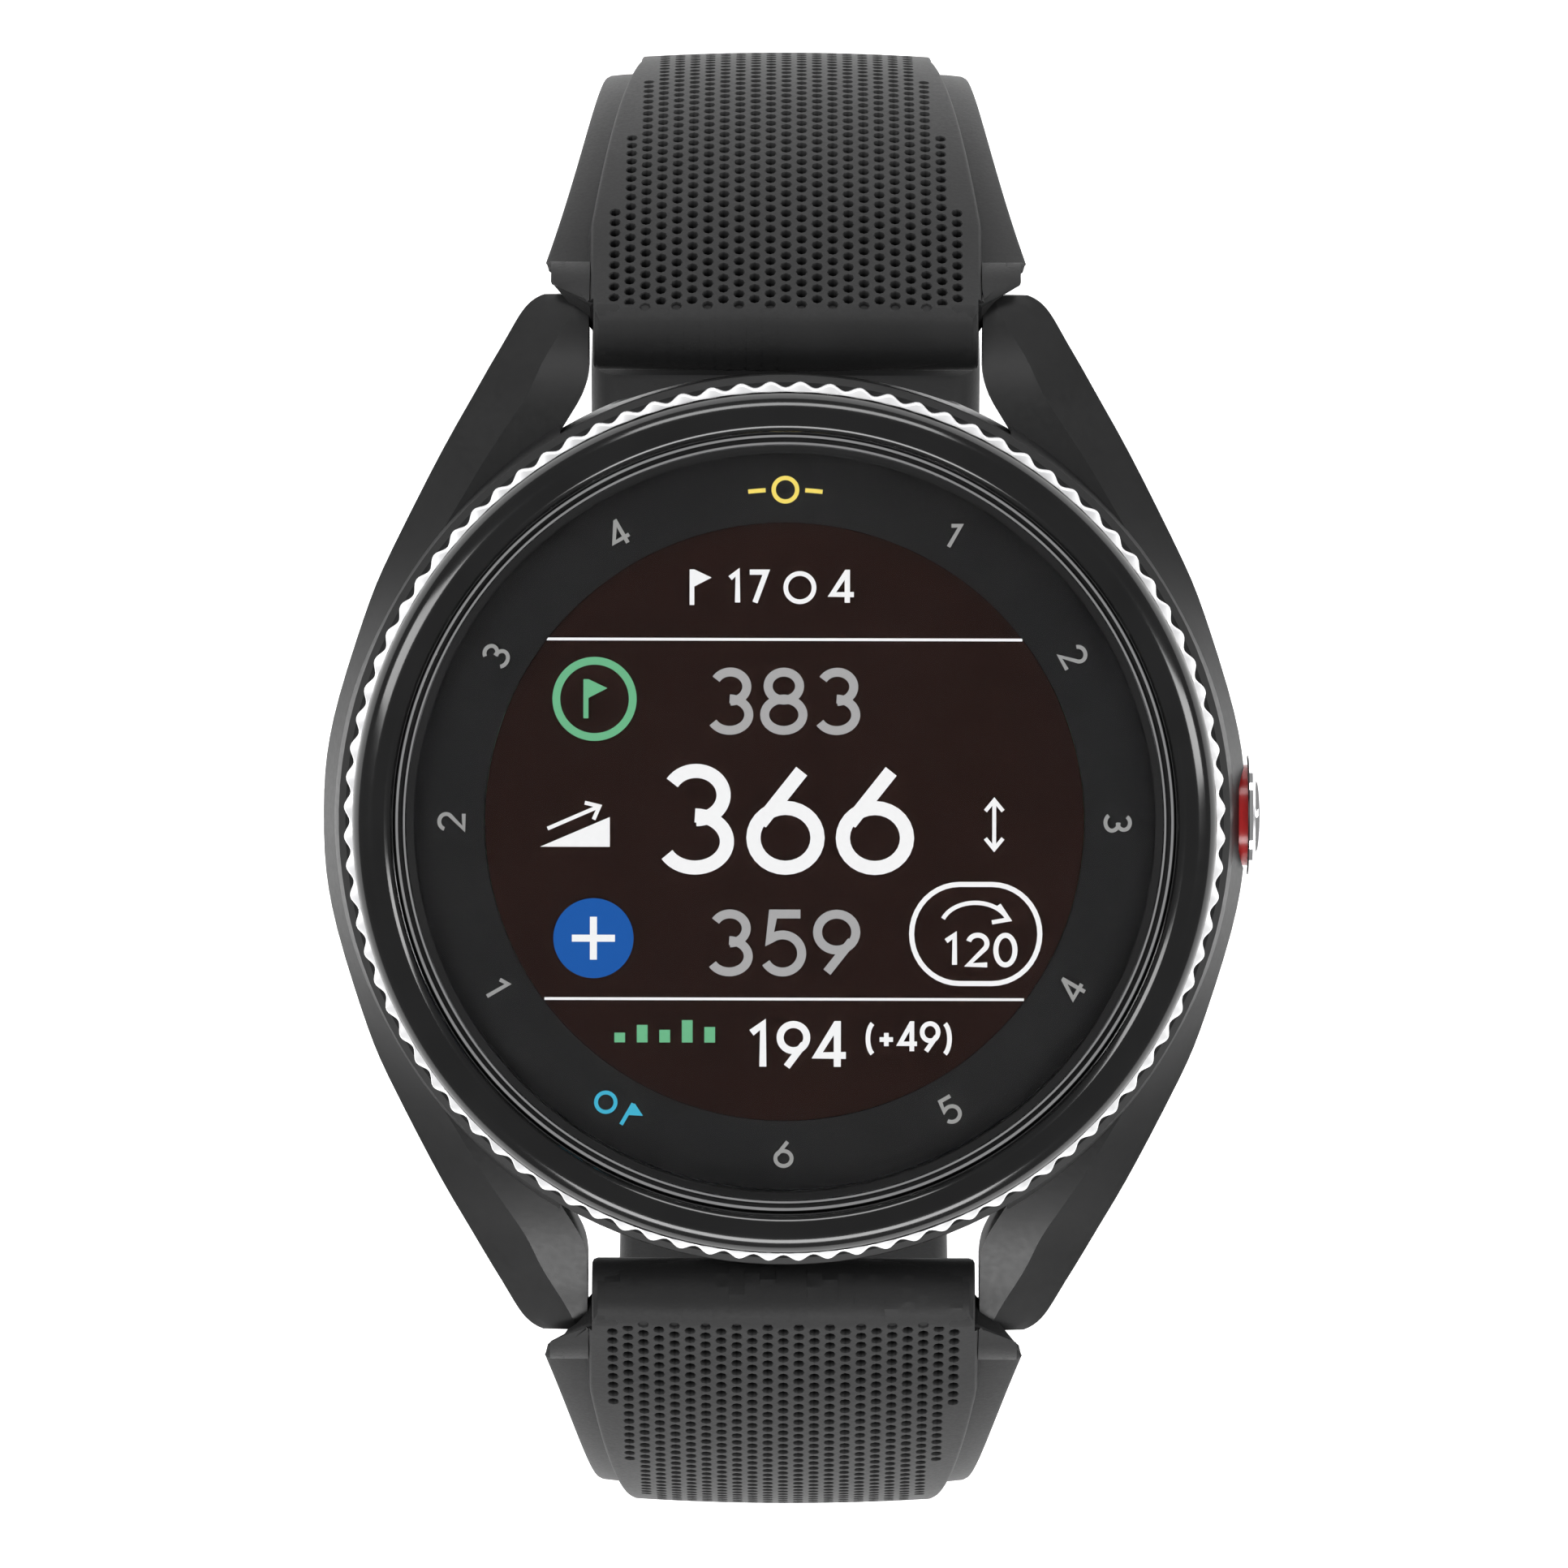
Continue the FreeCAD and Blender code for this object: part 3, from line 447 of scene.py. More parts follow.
class Route:
    """The strap's outer face in the YZ plane, as in the CAD: straight runs and arcs."""

    def __init__(self, last_arc, last_turn, last_run):
        self.runs = (
            (5.0, 0.0),
            (SHOULDER_ARC * (math.pi / 2 - SLOPE), SHOULDER_ARC),
            (last_arc * math.radians(last_turn), last_arc),
            (last_run, 0.0),
        )
        self.length = sum(length for length, _ in self.runs)

    def at(self, distance):
        y, z = ROUTE_START
        heading, left = SLOPE, distance
        if distance < 0:
            runs, left = ((-distance, -NOSE_ARC),), -distance
        else:
            runs = self.runs
        for length, radius in runs:
            step = min(length, left)
            if radius < 0:
                after = heading + step / radius
                y -= radius * (math.sin(after) - math.sin(heading))
                z -= radius * (math.cos(after) - math.cos(heading))
                heading = after
            elif radius:
                after = heading + step / radius
                y += radius * (math.sin(after) - math.sin(heading))
                z += radius * (math.cos(after) - math.cos(heading))
                heading = after
            else:
                y += step * math.cos(heading)
                z -= step * math.sin(heading)
            left -= step
        return y, z, heading

    def point(self, distance, across, out):
        """A place in millimetres: along the strap, across it and out from its face."""
        y, z, heading = self.at(distance)
        return (across, y + out * math.sin(heading), z + out * math.cos(heading))


def strap_half_width(distance):
    """Widest beside the lug tips, round at that corner, then tapering to the end."""
    into = distance - FLARE_START
    if into <= 0:
        return PANEL_HALF
    full = min(FLARE_HALF, STRAP_END_HALF + FLARE_EXTRA * math.exp(-distance / FLARE_FADE))
    if into >= FLARE_CORNER:
        return full
    return full - FLARE_CORNER + math.sqrt(FLARE_CORNER ** 2 - (FLARE_CORNER - into) ** 2)


def panel_half_width(distance):
    """Parallel at the root, then tapering to the end width, a little less on the nose."""
    if distance < 0:
        return PANEL_HALF - 0.3 * min(1.0, -distance / PITCH)
    start, length = PANEL_TAPER
    share = min(1.0, max(0.0, (distance - start) / length))
    return PANEL_HALF - PANEL_LOSS * share


def strap_depth(distance):
    return STRAP_THICKNESS + ROOT_EXTRA * math.exp(-max(distance, 0) / FADE)


def crown(across):
    return -0.4 * (across / 10) ** 2


def clear_of_lug(point):
    """Moves shoulder points along Y, off the lug's round end, with more room below."""
    x, y, z = point
    level = z - BAR[1]
    room = COVE + (COVE_BELOW - COVE) * min(1.0, max(0.0, 1 - level / COVE))
    if abs(x) <= LUG_INNER or abs(level) >= room:
        return point
    push = max(0.0, BAR[0] + math.sqrt(room ** 2 - level ** 2) - y)
    narrowed = abs(x) - FLARE_SLOPE * min(1.0, push)
    return (math.copysign(max(LUG_INNER, narrowed), x), y + push, z)


class StrapBuilder:
    """Collects the vertices and faces of one strap half, built on the +Y side."""

    def __init__(self, route, perforated_to, tip=0.0):
        self.route = route
        self.perforated_to = perforated_to
        self.tip = tip
        self.vertices = []
        self.faces = []

    def squeeze(self, distance):
        """Rounds the free end of the tail."""
        into = distance - (self.route.length - self.tip)
        if self.tip == 0 or into <= 0:
            return 1.0
        return max(0.04, math.sqrt(max(0.0, 1 - (into / self.tip) ** 2)))

    def add(self, points):
        first = len(self.vertices)
        self.vertices += [clear_of_lug(point) for point in points]
        return list(range(first, first + len(points)))

    def on_panel(self, across, distance, out=0.0):
        limit = panel_half_width(distance) * self.squeeze(distance)
        held = max(-limit, min(limit, across))
        return self.route.point(distance, held, crown(held) + out)

    def cell(self, column, distance, hole):
        """One lattice cell of the panel, with or without its perforation."""
        half = PITCH / 2
        middle = column * PITCH
        ring = [(half, 0), (half, half), (0, half), (-half, half),
                (-half, 0), (-half, -half), (0, -half), (half, -half)]
        outer = self.add([self.on_panel(middle + a, distance + b) for a, b in ring])
        if not hole:
            self.faces.append(outer)
            return
        levels = ((HOLE_RADIUS + 0.05, 0.0), (HOLE_RADIUS, -0.06), (HOLE_RADIUS, -HOLE_DEPTH))
        before = outer
        for radius, out in levels:
            circle = [(radius * math.cos(TURN * i / 8), radius * math.sin(TURN * i / 8))
                      for i in range(8)]
            inner = self.add([self.on_panel(middle + a, distance + b, out) for a, b in circle])
            for i in range(8):
                j = (i + 1) % 8
                self.faces.append((before[i], before[j], inner[j], inner[i]))
            before = inner
        self.faces.append(before)

    def has_hole(self, column, row_start, index):
        """Outer columns stop where the panel has narrowed past them."""
        distance = row_start + index * PITCH
        edge = panel_half_width(distance) - HOLE_MARGIN
        return 0 <= distance <= self.perforated_to and abs(column) * PITCH < edge

    def panel(self):
        last = self.route.length
        rows = int(last / PITCH) + 1
        for column in range(-12, 13):
            start = 0.0 if column % 2 else PITCH / 2
            for index in range(-NOSE_ROWS, rows + 1):
                distance = start + index * PITCH
                if distance + PITCH / 2 > last + 0.01:
                    continue
                self.cell(column, distance, self.has_hole(column, start, index))

    def rim_points(self, distance):
        """The section from the panel's right edge, round the back, to its left edge."""
        squeeze = self.squeeze(distance)
        panel = panel_half_width(distance) * squeeze
        half = max(strap_half_width(distance) * squeeze, panel + 0.2 * squeeze)
        depth = strap_depth(distance)
        edge = crown(panel)
        shoulder = min(-0.25, edge) - PANEL_STEP * min(1.0, (half - panel) / 0.8)
        right = [
            (panel, edge), (panel + 0.1 * squeeze, edge - 0.05),
            (panel + 0.16 * squeeze, edge - 0.16),
            (panel + 0.2 * squeeze, (edge + shoulder) / 2), (panel + 0.22 * squeeze, shoulder + 0.12),
            (panel + 0.32 * squeeze, shoulder),
            ((panel + half) / 2, shoulder - 0.02), (half - 0.25 * squeeze, shoulder - 0.1),
            (half - 0.06 * squeeze, shoulder - 0.2), (half, shoulder - 0.36),
            (half - 0.1 * squeeze, -depth + 0.55), (half - 0.35 * squeeze, -depth + 0.18),
            (half - 0.75 * squeeze, -depth), (half * 0.5, -depth - 0.02),
        ]
        left = [(-across, out) for across, out in reversed(right)]
        return [self.route.point(distance, across, out) for across, out in right + left]

    def rim(self):
        """Shoulders and back, in rows that meet the lattice's edge vertices."""
        step = PITCH / 2
        distance = step * 2
        last_row = self.route.length - self.route.length % step
        rings = []
        while distance <= last_row + 1e-6:
            rings.append(self.add(self.rim_points(distance)))
            distance += step
        for before, after in zip(rings, rings[1:]):
            for i in range(len(before) - 1):
                self.faces.append((before[i], before[i + 1], after[i + 1], after[i]))
        self.faces.append(rings[0])
        top = [self.on_panel(k * PITCH / 2, last_row) for k in range(24, -25, -1)]
        self.faces.append(rings[-1] + self.add(top[::-1]))

    def knuckle(self):
        """The rounded root between the lugs, as a bevelled bar of constant section."""
        nose = [self.route.point(-NOSE_ARC * math.radians(a), 0, -0.05)[1:]
                for a in range(0, 150, 10)]
        bar = arc(BAR, (KNUCKLE_RADIUS, KNUCKLE_RADIUS), 190, 300, 11)
        inner = [self.route.point(distance, 0, -1.5)[1:] for distance in (2.0, 1.2)]
        outline = nose + bar + inner
        centre_y = sum(y for y, _ in outline) / len(outline)
        centre_z = sum(z for _, z in outline) / len(outline)
        half = PANEL_HALF
        rings = []
        for across, inset in ((-half, 0.3), (-half + 0.08, 0.1), (-half + 0.3, 0.0),
                              (half - 0.3, 0.0), (half - 0.08, 0.1), (half, 0.3)):
            drop = crown(across)
            points = []
            for y, z in outline:
                away = math.hypot(y - centre_y, z - centre_z)
                shrink = 1 - inset / away
                lift = drop if z > BAR[1] + 1 else 0.0
                points.append((across, centre_y + (y - centre_y) * shrink,
                               centre_z + (z - centre_z) * shrink + lift))
            rings.append(self.add(points))
        return rings

    def close_knuckle(self, rings):
        for before, after in zip(rings, rings[1:]):
            for i in range(len(before)):
                j = (i + 1) % len(before)
                self.faces.append((before[i], before[j], after[j], after[i]))
        self.faces.append(rings[0])
        self.faces.append(rings[-1])


def turned_round(points):
    """The same points on the 6 o'clock side."""
    return [(-x, -y, z) for x, y, z in points]


def strap_half(name, route, body, node, side, perforated_to, tip=0.0):
    builder = StrapBuilder(route, perforated_to, tip)
    builder.panel()
    builder.rim()
    skin = builder.vertices if side > 0 else turned_round(builder.vertices)
    piece = add_piece(name, skin, builder.faces, SILICONE, body, [node], 38.0)
    root = StrapBuilder(route, 0)
    root.close_knuckle(root.knuckle())
    points = root.vertices if side > 0 else turned_round(root.vertices)
    knuckle = add_piece(name + "_knuckle", points, root.faces, SILICONE, body,
                        (), 50.0)
    notch = box_piece(Vector((side * -6.3, side * BAR[0], BAR[1] - 2)), Vector((2.8, 1.5, 4)))
    cut_away(knuckle, [notch])
    return piece


def box_piece(centre, sides):
    """A scratch box in millimetres, used to cut and then removed."""
    bpy.ops.mesh.primitive_cube_add(size=1, location=centre * MM)
    box = bpy.context.object
    box.scale = sides * MM
    bpy.context.view_layer.update()
    return box


def cut_away(piece, tools):
    """Subtracts scratch solids from a piece and removes them."""
    for tool in tools:
        cut = piece.modifiers.new("cut", "BOOLEAN")
        cut.operation = "DIFFERENCE"
        cut.solver = "EXACT"
        cut.object = tool
        bpy.context.view_layer.update()
        result = bpy.data.meshes.new_from_object(
            piece.evaluated_get(bpy.context.evaluated_depsgraph_get()))
        piece.modifiers.remove(cut)
        if len(result.polygons) > 20:
            piece.data = result
        bpy.data.objects.remove(tool)
    piece.data.set_sharp_from_angle(angle=math.radians(40))


BUCKLE_ROUTE = Route(28.0, 64.0, 17.0)
TAIL_ROUTE = Route(40.0, 80.0, 0.0)


def straps():
    strap_half("strap_12_skin", BUCKLE_ROUTE, "strap_12", "strap_buckle_half", 1, 44.0)
    tail = strap_half("strap_6_skin", TAIL_ROUTE, "strap_6", "strap_tail_half", -1, 32.0, 8.0)
    pins = []
    for index in range(ADJUST_HOLES):
        distance = TAIL_ROUTE.length - ADJUST_FROM_END - ADJUST_PITCH * index
        x, y, z = TAIL_ROUTE.point(distance, 0, -STRAP_THICKNESS / 2)
        bpy.ops.mesh.primitive_cylinder_add(vertices=32, radius=ADJUST_RADIUS * MM, depth=8 * MM,
                                            location=Vector((-x, -y, z)) * MM)
        pin = bpy.context.object
        heading = TAIL_ROUTE.at(distance)[2]
        out = Vector((0, -math.sin(heading), math.cos(heading)))
        pin.rotation_euler = out.to_track_quat("Z", "X").to_euler()
        pins.append(pin)
    bpy.context.view_layer.update()
    cut_away(tail, pins)
    buckle_loop()


def strap_frame(distance, out):
    """Matrix whose X is along the buckle half, Y across it and Z outward, in millimetres."""
    _, y, z = BUCKLE_ROUTE.point(distance, 0, out)
    heading = BUCKLE_ROUTE.at(distance)[2]
    along = Vector((0, math.cos(heading), -math.sin(heading)))
    outward = Vector((0, math.sin(heading), math.cos(heading)))
    across = outward.cross(along)
    matrix = Matrix((along, across, outward)).transposed().to_4x4()
    matrix.translation = (0, y, z)
    return matrix


def tube(path, radius, segments=20, flat=1.0):
    """Vertices and faces of a rod that follows a path, with domed ends."""
    vertices, faces = [], []
    count = len(path)
    stations = [(path[0], 0.05), (path[0], 0.7)] + [(p, 1.0) for p in path]
    stations += [(path[-1], 0.7), (path[-1], 0.05)]
    shifts = [-radius, -radius * 0.7] + [0] * count + [radius * 0.7, radius]
    points = [Vector(p) for p, _ in stations]
    reference = Vector((0, 0, 1))
    for i, (place, scale) in enumerate(stations):
        j = min(max(i - 2, 0), count - 1)
        direction = (Vector(path[min(j + 1, count - 1)]) - Vector(path[max(j - 1, 0)])).normalized()
        side = direction.cross(reference)
        side = side.normalized() if side.length > 1e-4 else Vector((0, 1, 0))
        up = side.cross(direction)
        centre = points[i] + direction * shifts[i]
        for k in range(segments):
            angle = TURN * k / segments
            vertices.append(centre + side * math.cos(angle) * radius * scale
                            + up * math.sin(angle) * radius * scale * flat)
    faces = rings_to_faces(len(stations), segments, closed=False)
    faces.append(tuple(range(segments)))
    last = len(vertices) - segments
    faces.append(tuple(range(last, last + segments)))
    return vertices, faces


def buckle_loop():
    """The two knuckles at the strap's end that hold the buckle's bar."""
    matrix = strap_frame(BUCKLE_ROUTE.length, -STRAP_THICKNESS / 2)
    for name, start, end in (("left", -8.9, -1.3), ("right", 1.3, 8.9)):
        outline = [(1.75, start + 0.25), (1.75, end - 0.25), (1.5, end),
                   (0.8, end), (0.8, start), (1.5, start)]
        vertices = []
        for i in range(48):
            angle = TURN * i / 48
            for radius, across in outline:
                spot = Vector((radius * math.cos(angle), across, radius * math.sin(angle)))
                vertices.append(matrix @ spot)
        faces = rings_to_faces(48, len(outline))
        add_piece("strap_12_loop_" + name, vertices, faces, SILICONE, "strap_12")


def keeper(name, node, body, back, drop):
    """A soft loop with rounded edges round both strap layers."""
    matrix = strap_frame(BUCKLE_ROUTE.length - back, 0)
    wall, half_width, length, room = 1.3, 10.65, 6.0, 5.4
    underside = -STRAP_THICKNESS - drop
    low, high = underside - wall, underside + room + wall

    def rounded(inset, radius):
        points = []
        corners = ((half_width - inset, high - inset, 0), (inset - half_width, high - inset, 90),
                   (inset - half_width, low + inset, 180), (half_width - inset, low + inset, 270))
        for y, z, start in corners:
            centre = (y - math.copysign(radius, y), z - radius if z > 0 else z + radius)
            points += arc(centre, (radius, radius), start, start + 90, 6)
        return points

    profile = ((-length / 2, 0.3), (-length / 2 + 0.08, 0.09), (-length / 2 + 0.3, 0.0),
               (length / 2 - 0.3, 0.0), (length / 2 - 0.08, 0.09), (length / 2, 0.3),
               (length / 2, wall - 0.2), (length / 2 - 0.2, wall), (-length / 2 + 0.2, wall),
               (-length / 2, wall - 0.2))
    vertices = []
    for along, inset in profile:
        ring = rounded(inset, max(0.25, 1.5 - inset))
        vertices += [matrix @ Vector((along, y, z)) for y, z in ring]
    faces = rings_to_faces(len(profile), len(vertices) // len(profile))
    add_piece(name, vertices, faces, SILICONE, body, [node])


def buckle():
    matrix = strap_frame(BUCKLE_ROUTE.length, -STRAP_THICKNESS / 2)
    inner, reach, wire = 10.6, 9.4, 1.05
    path = [Vector((0, -inner, 0)), Vector((reach - 2.2, -inner, 0))]
    path += [Vector((x, y, 0)) for x, y in arc((reach - 2.2, -inner + 2.2), (2.2, 2.2), -90, 0, 8)]
    path += [Vector((x, y, 0)) for x, y in arc((reach - 2.2, inner - 2.2), (2.2, 2.2), 0, 90, 8)]
    path += [Vector((reach - 2.2, inner, 0)), Vector((0, inner, 0))]
    vertices, faces = tube(path, wire, 24, 0.95)
    add_piece("buckle_rounded_frame", [matrix @ v for v in vertices], faces, BUCKLE_STEEL,
              "buckle", ["buckle_frame"])
    lift = math.atan2(2.05, reach)
    tip = reach + 1.0
    path = [Vector((s, 0, s * math.tan(lift) + 0.25 * math.sin(math.pi * s / tip))) for s in
            [1.2 + (tip - 1.2) * i / 8 for i in range(9)]]
    vertices, faces = tube(path, 0.78, 20)
    first = len(vertices)
    ring = [(1.35, -1.05), (1.35, 1.05), (0.8, 1.05), (0.8, -1.05)]
    for i in range(32):
        angle = TURN * i / 32
        vertices += [Vector((r * math.cos(angle), y, r * math.sin(angle))) for r, y in ring]
    faces += [tuple(first + i for i in face) for face in rings_to_faces(32, 4)]
    add_piece("buckle_curved_tang", [matrix @ v for v in vertices], faces, BUCKLE_STEEL,
              "tang", ["buckle_tang"])


# ---------------------------------------------------------------- display

WHITE = lit("display_white", linear(250, 250, 250))
PALE = lit("display_grey", linear(172, 171, 171))
GREEN = lit("display_green", linear(112, 186, 140))
BLUE = lit("display_blue", linear(33, 91, 170))
# The scale ring's printed ink glows like the display, though it is print and no lamp: painted light.
MARK_GREY_GLOW = lit("scale_grey_ink_painted_glow", linear(156, 156, 154))
MARK_YELLOW_GLOW = lit("scale_yellow_ink_painted_glow", linear(250, 226, 110))
MARK_CYAN_GLOW = lit("scale_cyan_ink_painted_glow", linear(70, 180, 210))

# Strokes of each figure in a box 0.58 wide and 1 high: straight runs through points,
# and arcs as (centre, radii, start, end) in degrees
FIGURES = {
    "0": [[((0.29, 0.5), (0.27, 0.5), 90, 450)]],
    "1": [[(0.1, 0.8), (0.34, 1.0), (0.34, 0.0)]],
    "2": [[((0.29, 0.72), (0.26, 0.28), 165, -35), (0.03, 0.0), (0.56, 0.0)]],
    "3": [[((0.28, 0.75), (0.24, 0.25), 150, -90)], [((0.27, 0.27), (0.28, 0.27), 90, -150)]],
    "4": [[(0.6, 0.27), (0.0, 0.27), (0.4, 1.0), (0.42, 1.0), (0.42, 0.0)]],
    "5": [[(0.53, 1.0), (0.13, 1.0), (0.08, 0.56), ((0.27, 0.32), (0.28, 0.32), 125, -150)]],
    "6": [[(0.42, 1.0), (0.06, 0.46)], [((0.28, 0.31), (0.28, 0.31), 0, 360)]],
    "7": [[(0.03, 1.0), (0.56, 1.0), (0.2, 0.0)]],
    "8": [[((0.28, 0.76), (0.23, 0.24), 0, 360)], [((0.28, 0.27), (0.28, 0.27), 0, 360)]],
    "9": [[(0.14, 0.0), (0.5, 0.54)], [((0.28, 0.69), (0.28, 0.31), 0, 360)]],
    "+": [[(0.03, 0.42), (0.5, 0.42)], [(0.265, 0.18), (0.265, 0.66)]],
    "(": [[((0.42, 0.45), (0.3, 0.62), 118, 242)]],
    ")": [[((-0.12, 0.45), (0.3, 0.62), 62, -62)]],
}
FIGURE_WIDTH = {"(": 0.3, ")": 0.3, "1": 0.5, "+": 0.54}


def stroke_points(stroke):
    points = []
    for item in stroke:
        if len(item) == 4:
            points += arc(item[0], item[1], item[2], item[3], 28)
        else:
            points.append(item)
    return points


def ribbon(points, width):
    """A flat band of a given width along points in the plane, mitred at its bends."""
    closed = math.dist(points[0], points[-1]) < 1e-6
    points = [Vector(p) for p in points]
    vertices, faces = [], []
    for i, point in enumerate(points):
        before = points[i - 1] if i else (points[-2] if closed else None)
        after = points[i + 1] if i + 1 < len(points) else (points[1] if closed else None)
        arriving = (point - before).normalized() if before is not None else None
        leaving = (after - point).normalized() if after is not None else None
        arriving = arriving or leaving
        leaving = leaving or arriving
        direction = (arriving + leaving).normalized()
        normal = Vector((-direction.y, direction.x))
        stretch = 1 / max(0.55, normal.dot(Vector((-arriving.y, arriving.x))))
        vertices += [point + normal * width / 2 * stretch, point - normal * width / 2 * stretch]
    for i in range(len(points) - 1):
        faces.append((2 * i, 2 * i + 1, 2 * i + 3, 2 * i + 2))
    return vertices, faces


class Sketch:
    """Flat artwork in millimetres from the dial's centre, at one height."""

    def __init__(self, level):
        self.level = level
        self.vertices = []
        self.faces = []

    def put(self, vertices, faces, turn=0.0, place=(0, 0)):
        first = len(self.vertices)
        cosine, sine = math.cos(turn), math.sin(turn)
        for x, y in vertices:
            self.vertices.append((place[0] + x * cosine - y * sine,
                                  place[1] + x * sine + y * cosine, self.level))
        self.faces += [tuple(first + i for i in face) for face in faces]

    def line(self, points, width, turn=0.0, place=(0, 0)):
        self.put(*ribbon(points, width), turn, place)

    def fill(self, points, turn=0.0, place=(0, 0)):
        self.put(points, [tuple(range(len(points)))], turn, place)

    def ring(self, centre, radius, width):
        self.line(arc(centre, (radius, radius), 0, 360, 64), width)

    def figures(self, text, left, base, width, height, stroke, turn=0.0, place=(0, 0)):
        """Figures that fill a box; widths follow each figure's own share."""
        shares = [FIGURE_WIDTH.get(mark, 0.58) for mark in text]
        gap = 0.2
        total = sum(shares) + gap * (len(text) - 1)
        unit = (width - stroke) / total
        x = left + stroke / 2
        tall = height - stroke
        for mark, share in zip(text, shares):
            for figure in FIGURES[mark]:
                points = [(x + px * unit, base + stroke / 2 + py * tall)
                          for px, py in stroke_points(figure)]
                self.line(points, stroke, turn, place)
            x += (share + gap) * unit

    def finish(self, name, material, slot):
        add_piece(name, self.vertices, self.faces, material, "case")


def flag(sketch, x, y, tall, width):
    """A small golf flag on its stick."""
    sketch.line([(x, y), (x, y + tall)], width)
    sketch.fill([(x + width / 2, y + tall), (x + tall * 0.55, y + tall * 0.77),
                 (x + width / 2, y + tall * 0.52)])


def screen_artwork():
    level = cad_mm("display_panel")[1].z + 0.02
    white, pale, green, blue = (Sketch(level) for _ in range(4))
    white.line([(-12.15, 9.35), (12.1, 9.35)], 0.14)
    white.line([(-12.25, -9.06), (12.25, -9.06)], 0.14)
    flag(white, -4.75, 11.1, 1.82, 0.24)
    white.figures("17", -3.1, 11.1, 2.3, 1.82, 0.27)
    white.ring((0.75, 12.0), 0.72, 0.24)
    white.figures("4", 2.25, 11.1, 1.35, 1.82, 0.27)
    pale.figures("383", -3.99, 4.47, 7.94, 3.44, 0.455)
    white.figures("366", -6.52, -2.69, 13.25, 5.67, 0.72)
    pale.figures("359", -3.99, -7.9, 7.94, 3.43, 0.455)
    green.ring((-9.71, 6.29), 1.95, 0.4)
    flag(green, -10.15, 5.3, 2.0, 0.26)
    white.line([(10.7, 1.1), (10.7, -1.3)], 0.2)
    for tip, back in ((1.15, 0.6), (-1.35, -0.8)):
        white.line([(10.25, back), (10.7, tip), (11.15, back)], 0.2)
    white.fill([(-12.48, -1.28), (-8.92, -1.28), (-8.92, 0.25)])
    white.line([(-12.1, -0.35), (-9.5, 0.78)], 0.2)
    white.line([(-10.2, 0.98), (-9.45, 0.8), (-9.75, 0.12)], 0.2)
    blue.fill(arc((-9.75, -5.96), (2.05, 2.05), 0, 354, 59))
    above = Sketch(level + 0.01)
    above.line([(-10.85, -5.96), (-8.65, -5.96)], 0.36)
    above.line([(-9.75, -7.06), (-9.75, -4.86)], 0.36)
    pill = arc((10.6, -5.7), (2.45, 2.54), -90, 90, 20) + arc((8.95, -5.7), (2.45, 2.54), 90, 270, 20)
    white.line(pill + pill[:1], 0.26)
    white.figures("120", 7.95, -7.41, 4.0, 1.78, 0.26)
    white.line(arc((9.75, -5.35), (1.75, 1.25), 160, 25, 18), 0.22)
    white.line([(10.95, -4.2), (11.45, -4.95), (10.6, -5.1)], 0.22)
    for index, tall in enumerate((0.5, 0.9, 0.65, 1.15, 0.8)):
        green.line([(-8.4 + index * 1.15, -11.3), (-8.4 + index * 1.15, -11.3 + tall)], 0.55)
    white.figures("194", -2.09, -12.71, 5.38, 2.53, 0.36)
    white.figures("(+49)", 3.99, -11.84, 4.76, 1.66, 0.24)
    white.finish("display_white_marks", WHITE, "screen")
    above.finish("display_plus_mark", WHITE, "screen")
    pale.finish("display_grey_figures", PALE, "screen")
    green.finish("display_green_marks", GREEN, "screen")
    blue.finish("display_blue_disc", BLUE, "screen")


def scale_artwork():
    """Count marks every 30 degrees round the ring under the glass, in ink that glows: painted light."""
    level = cad_mm("scale_ring")[1].z + 0.015
    radius, tall = 17.0, 1.45
    grey_ink, yellow, cyan = (Sketch(level) for _ in range(3))
    marks = list(enumerate("123456", start=1)) + list(enumerate("1234", start=8))
    for hour, mark in marks:
        angle = math.radians(90 - 30 * hour)
        place = (radius * math.cos(angle), radius * math.sin(angle))
        upright = angle - math.pi / 2
        if math.sin(angle) < -0.1:
            upright += math.pi
        grey_ink.figures(mark, -0.53, -tall / 2, 1.06, tall, 0.2, upright, place)
    yellow.line(arc((0, radius), (0.6, 0.6), 0, 360, 32), 0.22)
    for side in (-1, 1):
        sweep = arc((0, 0), (radius, radius), 90 + side * 3.4, 90 + side * 6.4, 6)
        yellow.line(sweep, 0.22)
    angle = math.radians(90 - 210)
    turn = angle + math.pi / 2
    place = (radius * math.cos(angle), radius * math.sin(angle))
    cyan.line(arc((-0.7, 0), (0.5, 0.5), 0, 360, 24), 0.2, turn, place)
    cyan.line([(0.55, -0.6), (0.55, 0.65)], 0.2, turn, place)
    cyan.fill([(0.6, 0.7), (1.3, 0.35), (0.6, 0.0)], turn, place)
    grey_ink.finish("scale_grey_numbers", MARK_GREY_GLOW, "scale_black")
    yellow.finish("scale_yellow_ball_mark", MARK_YELLOW_GLOW, "scale_black")
    cyan.finish("scale_cyan_putt_mark", MARK_CYAN_GLOW, "scale_black")


# ---------------------------------------------------------------- camera, floor and light

CAMERA_DISTANCE = 698.7
CAMERA_TILT = math.radians(4.296)
CAMERA_SHIFT = (0.035, -1.724)
CAMERA_ROLL = math.radians(0.14)


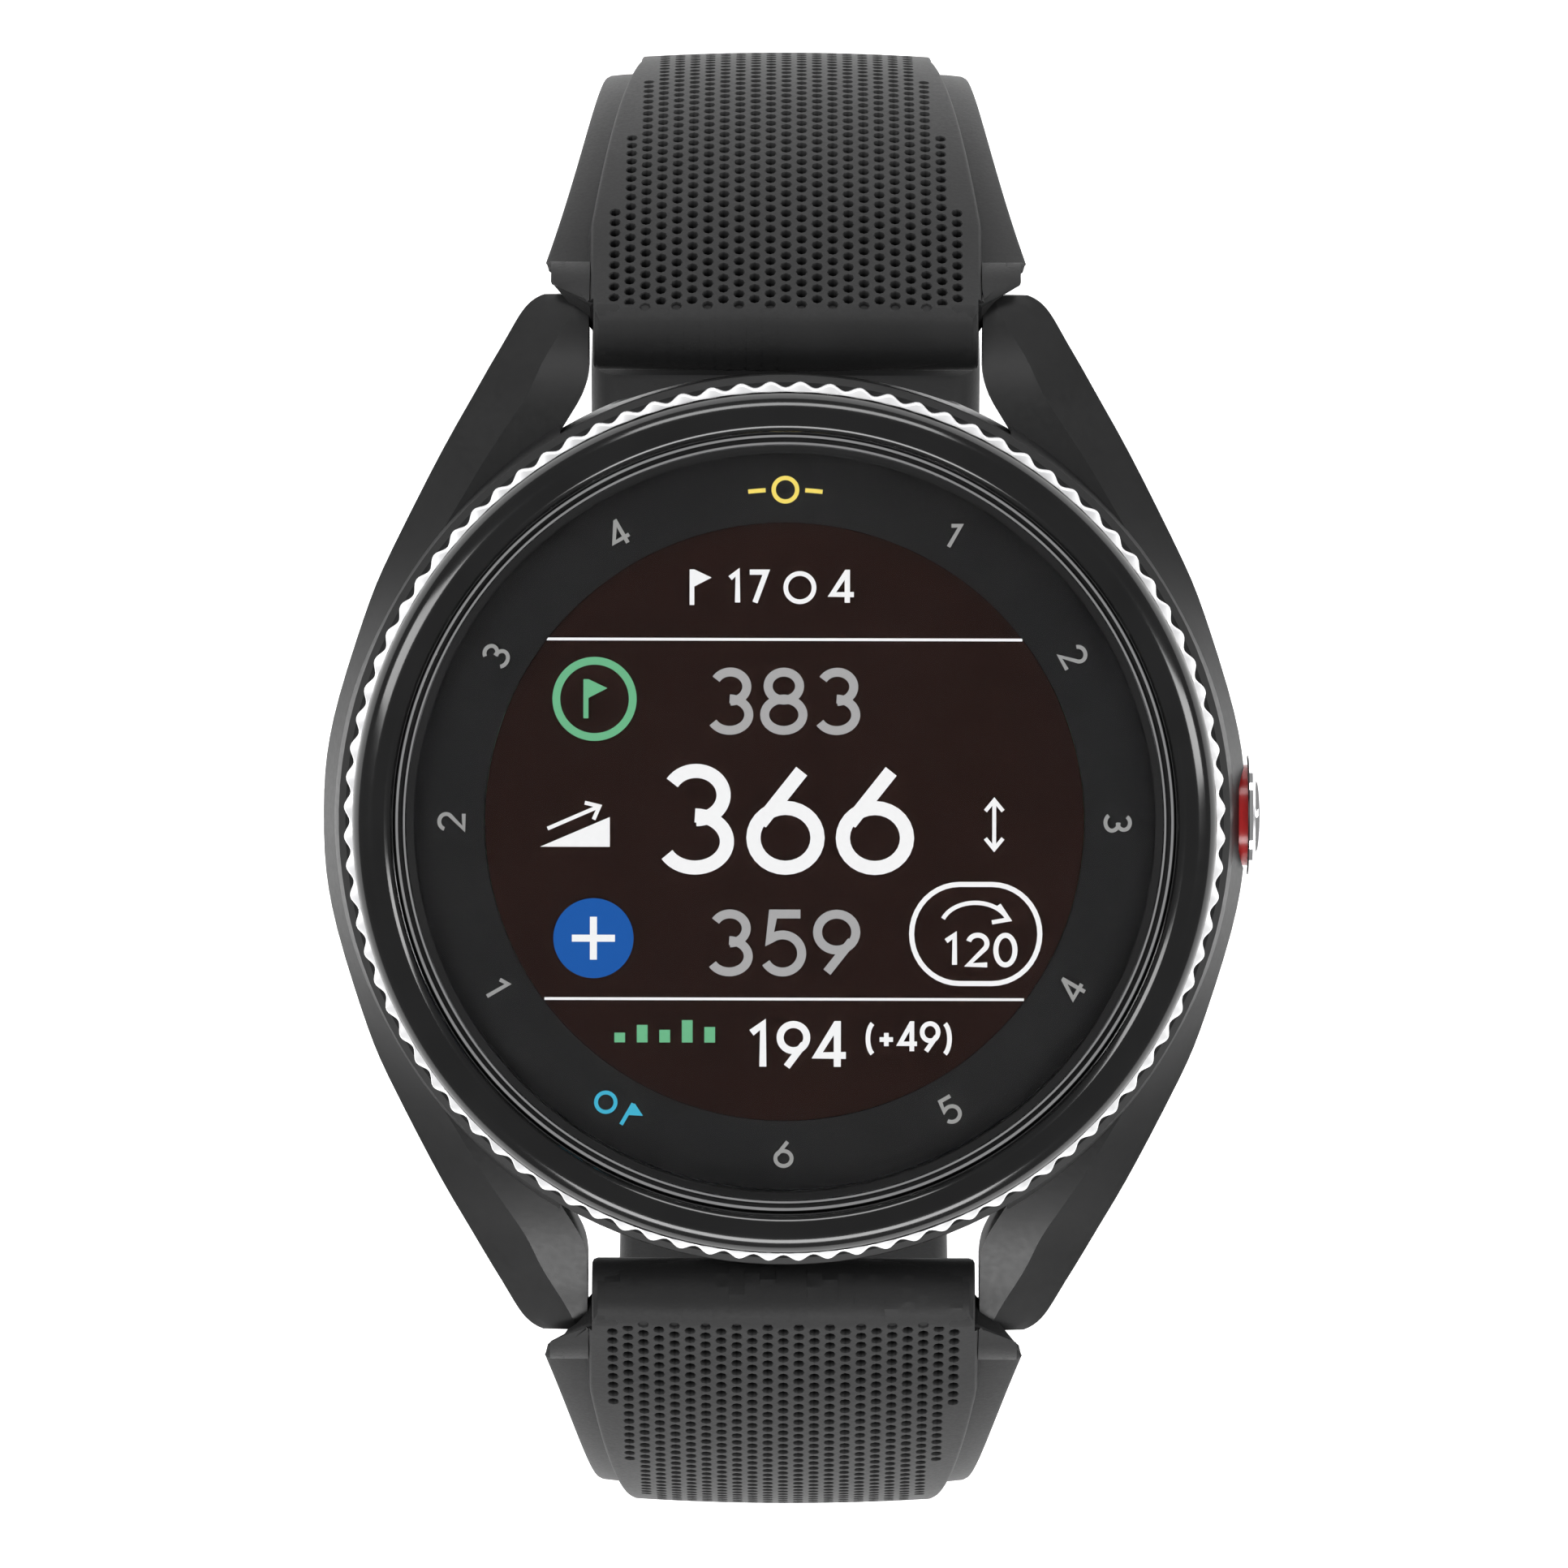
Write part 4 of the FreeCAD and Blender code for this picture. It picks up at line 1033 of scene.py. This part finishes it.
def camera():
    up = Vector((0, math.cos(CAMERA_TILT), -math.sin(CAMERA_TILT)))
    back = Vector((0, math.sin(CAMERA_TILT), math.cos(CAMERA_TILT)))
    right = Vector((1, 0, 0))
    place = Vector((0, 0, ROUTE_START[1])) + back * CAMERA_DISTANCE
    place -= right * CAMERA_SHIFT[0] + up * CAMERA_SHIFT[1]
    data = bpy.data.cameras.new("photo_camera")
    data.sensor_width = 36.0
    data.lens = 312.9
    data.clip_end = 10.0
    viewer = bpy.data.objects.new("photo_camera", data)
    turn = Matrix((right, up, back)).transposed().to_4x4() @ Matrix.Rotation(CAMERA_ROLL, 4, "Z")
    viewer.matrix_world = Matrix.Translation(place * MM) @ turn
    bpy.context.scene.collection.objects.link(viewer)
    bpy.context.scene.camera = viewer


def floor():
    level = cad_bounds[0][2]
    bpy.ops.mesh.primitive_plane_add(size=4.0, location=(0, 0, level))
    plane = bpy.context.object
    plane.name = "studio_floor"
    paper = Surface("studio_paper")
    paper.colours(paper.noise(40.0), (0.9, 0.9, 0.9), (0.94, 0.94, 0.94))
    paper.roughness(paper.noise(300.0), 0.85, 0.95)
    paper.set(Emission_Color=(1, 1, 1, 1), Emission_Strength=0.55)
    plane.data.materials.append(paper.material)


def softbox(name, place, sides, power):
    data = bpy.data.lights.new(name, "AREA")
    data.shape = "RECTANGLE"
    data.size, data.size_y = sides
    data.energy = power
    lamp = bpy.data.objects.new(name, data)
    lamp.location = place
    lamp.rotation_euler = Vector(place).to_track_quat("Z", "Y").to_euler()
    bpy.context.scene.collection.objects.link(lamp)


def studio():
    bpy.context.scene.view_settings.view_transform = "Standard"
    world = bpy.data.worlds.new("studio_world")
    world.use_nodes = True
    world.node_tree.nodes["Background"].inputs["Color"].default_value = (1, 1, 1, 1)
    world.node_tree.nodes["Background"].inputs["Strength"].default_value = 0.3
    bpy.context.scene.world = world
    softbox("left_softbox", (-0.7, 0.25, 0.75), (0.25, 0.7), 5.0)
    softbox("right_softbox", (0.75, 0.1, 0.7), (0.2, 0.6), 4.0)
    softbox("back_softbox", (0.0, 0.9, 0.5), (0.8, 0.25), 5.0)
    softbox("front_softbox", (0.0, -0.85, 0.6), (0.9, 0.3), 9.0)


dress_cad_nodes()
bezel()
grip()
trim()
crystal()
button()
straps()
keeper("keeper_fixed_loop", "keeper_fixed", "strap_12", 5.8, 0.0)
keeper("keeper_sliding_loop", "keeper_sliding", "keeper", 13.4, 0.45)
buckle()
screen_artwork()
scale_artwork()
camera()
floor()
studio()
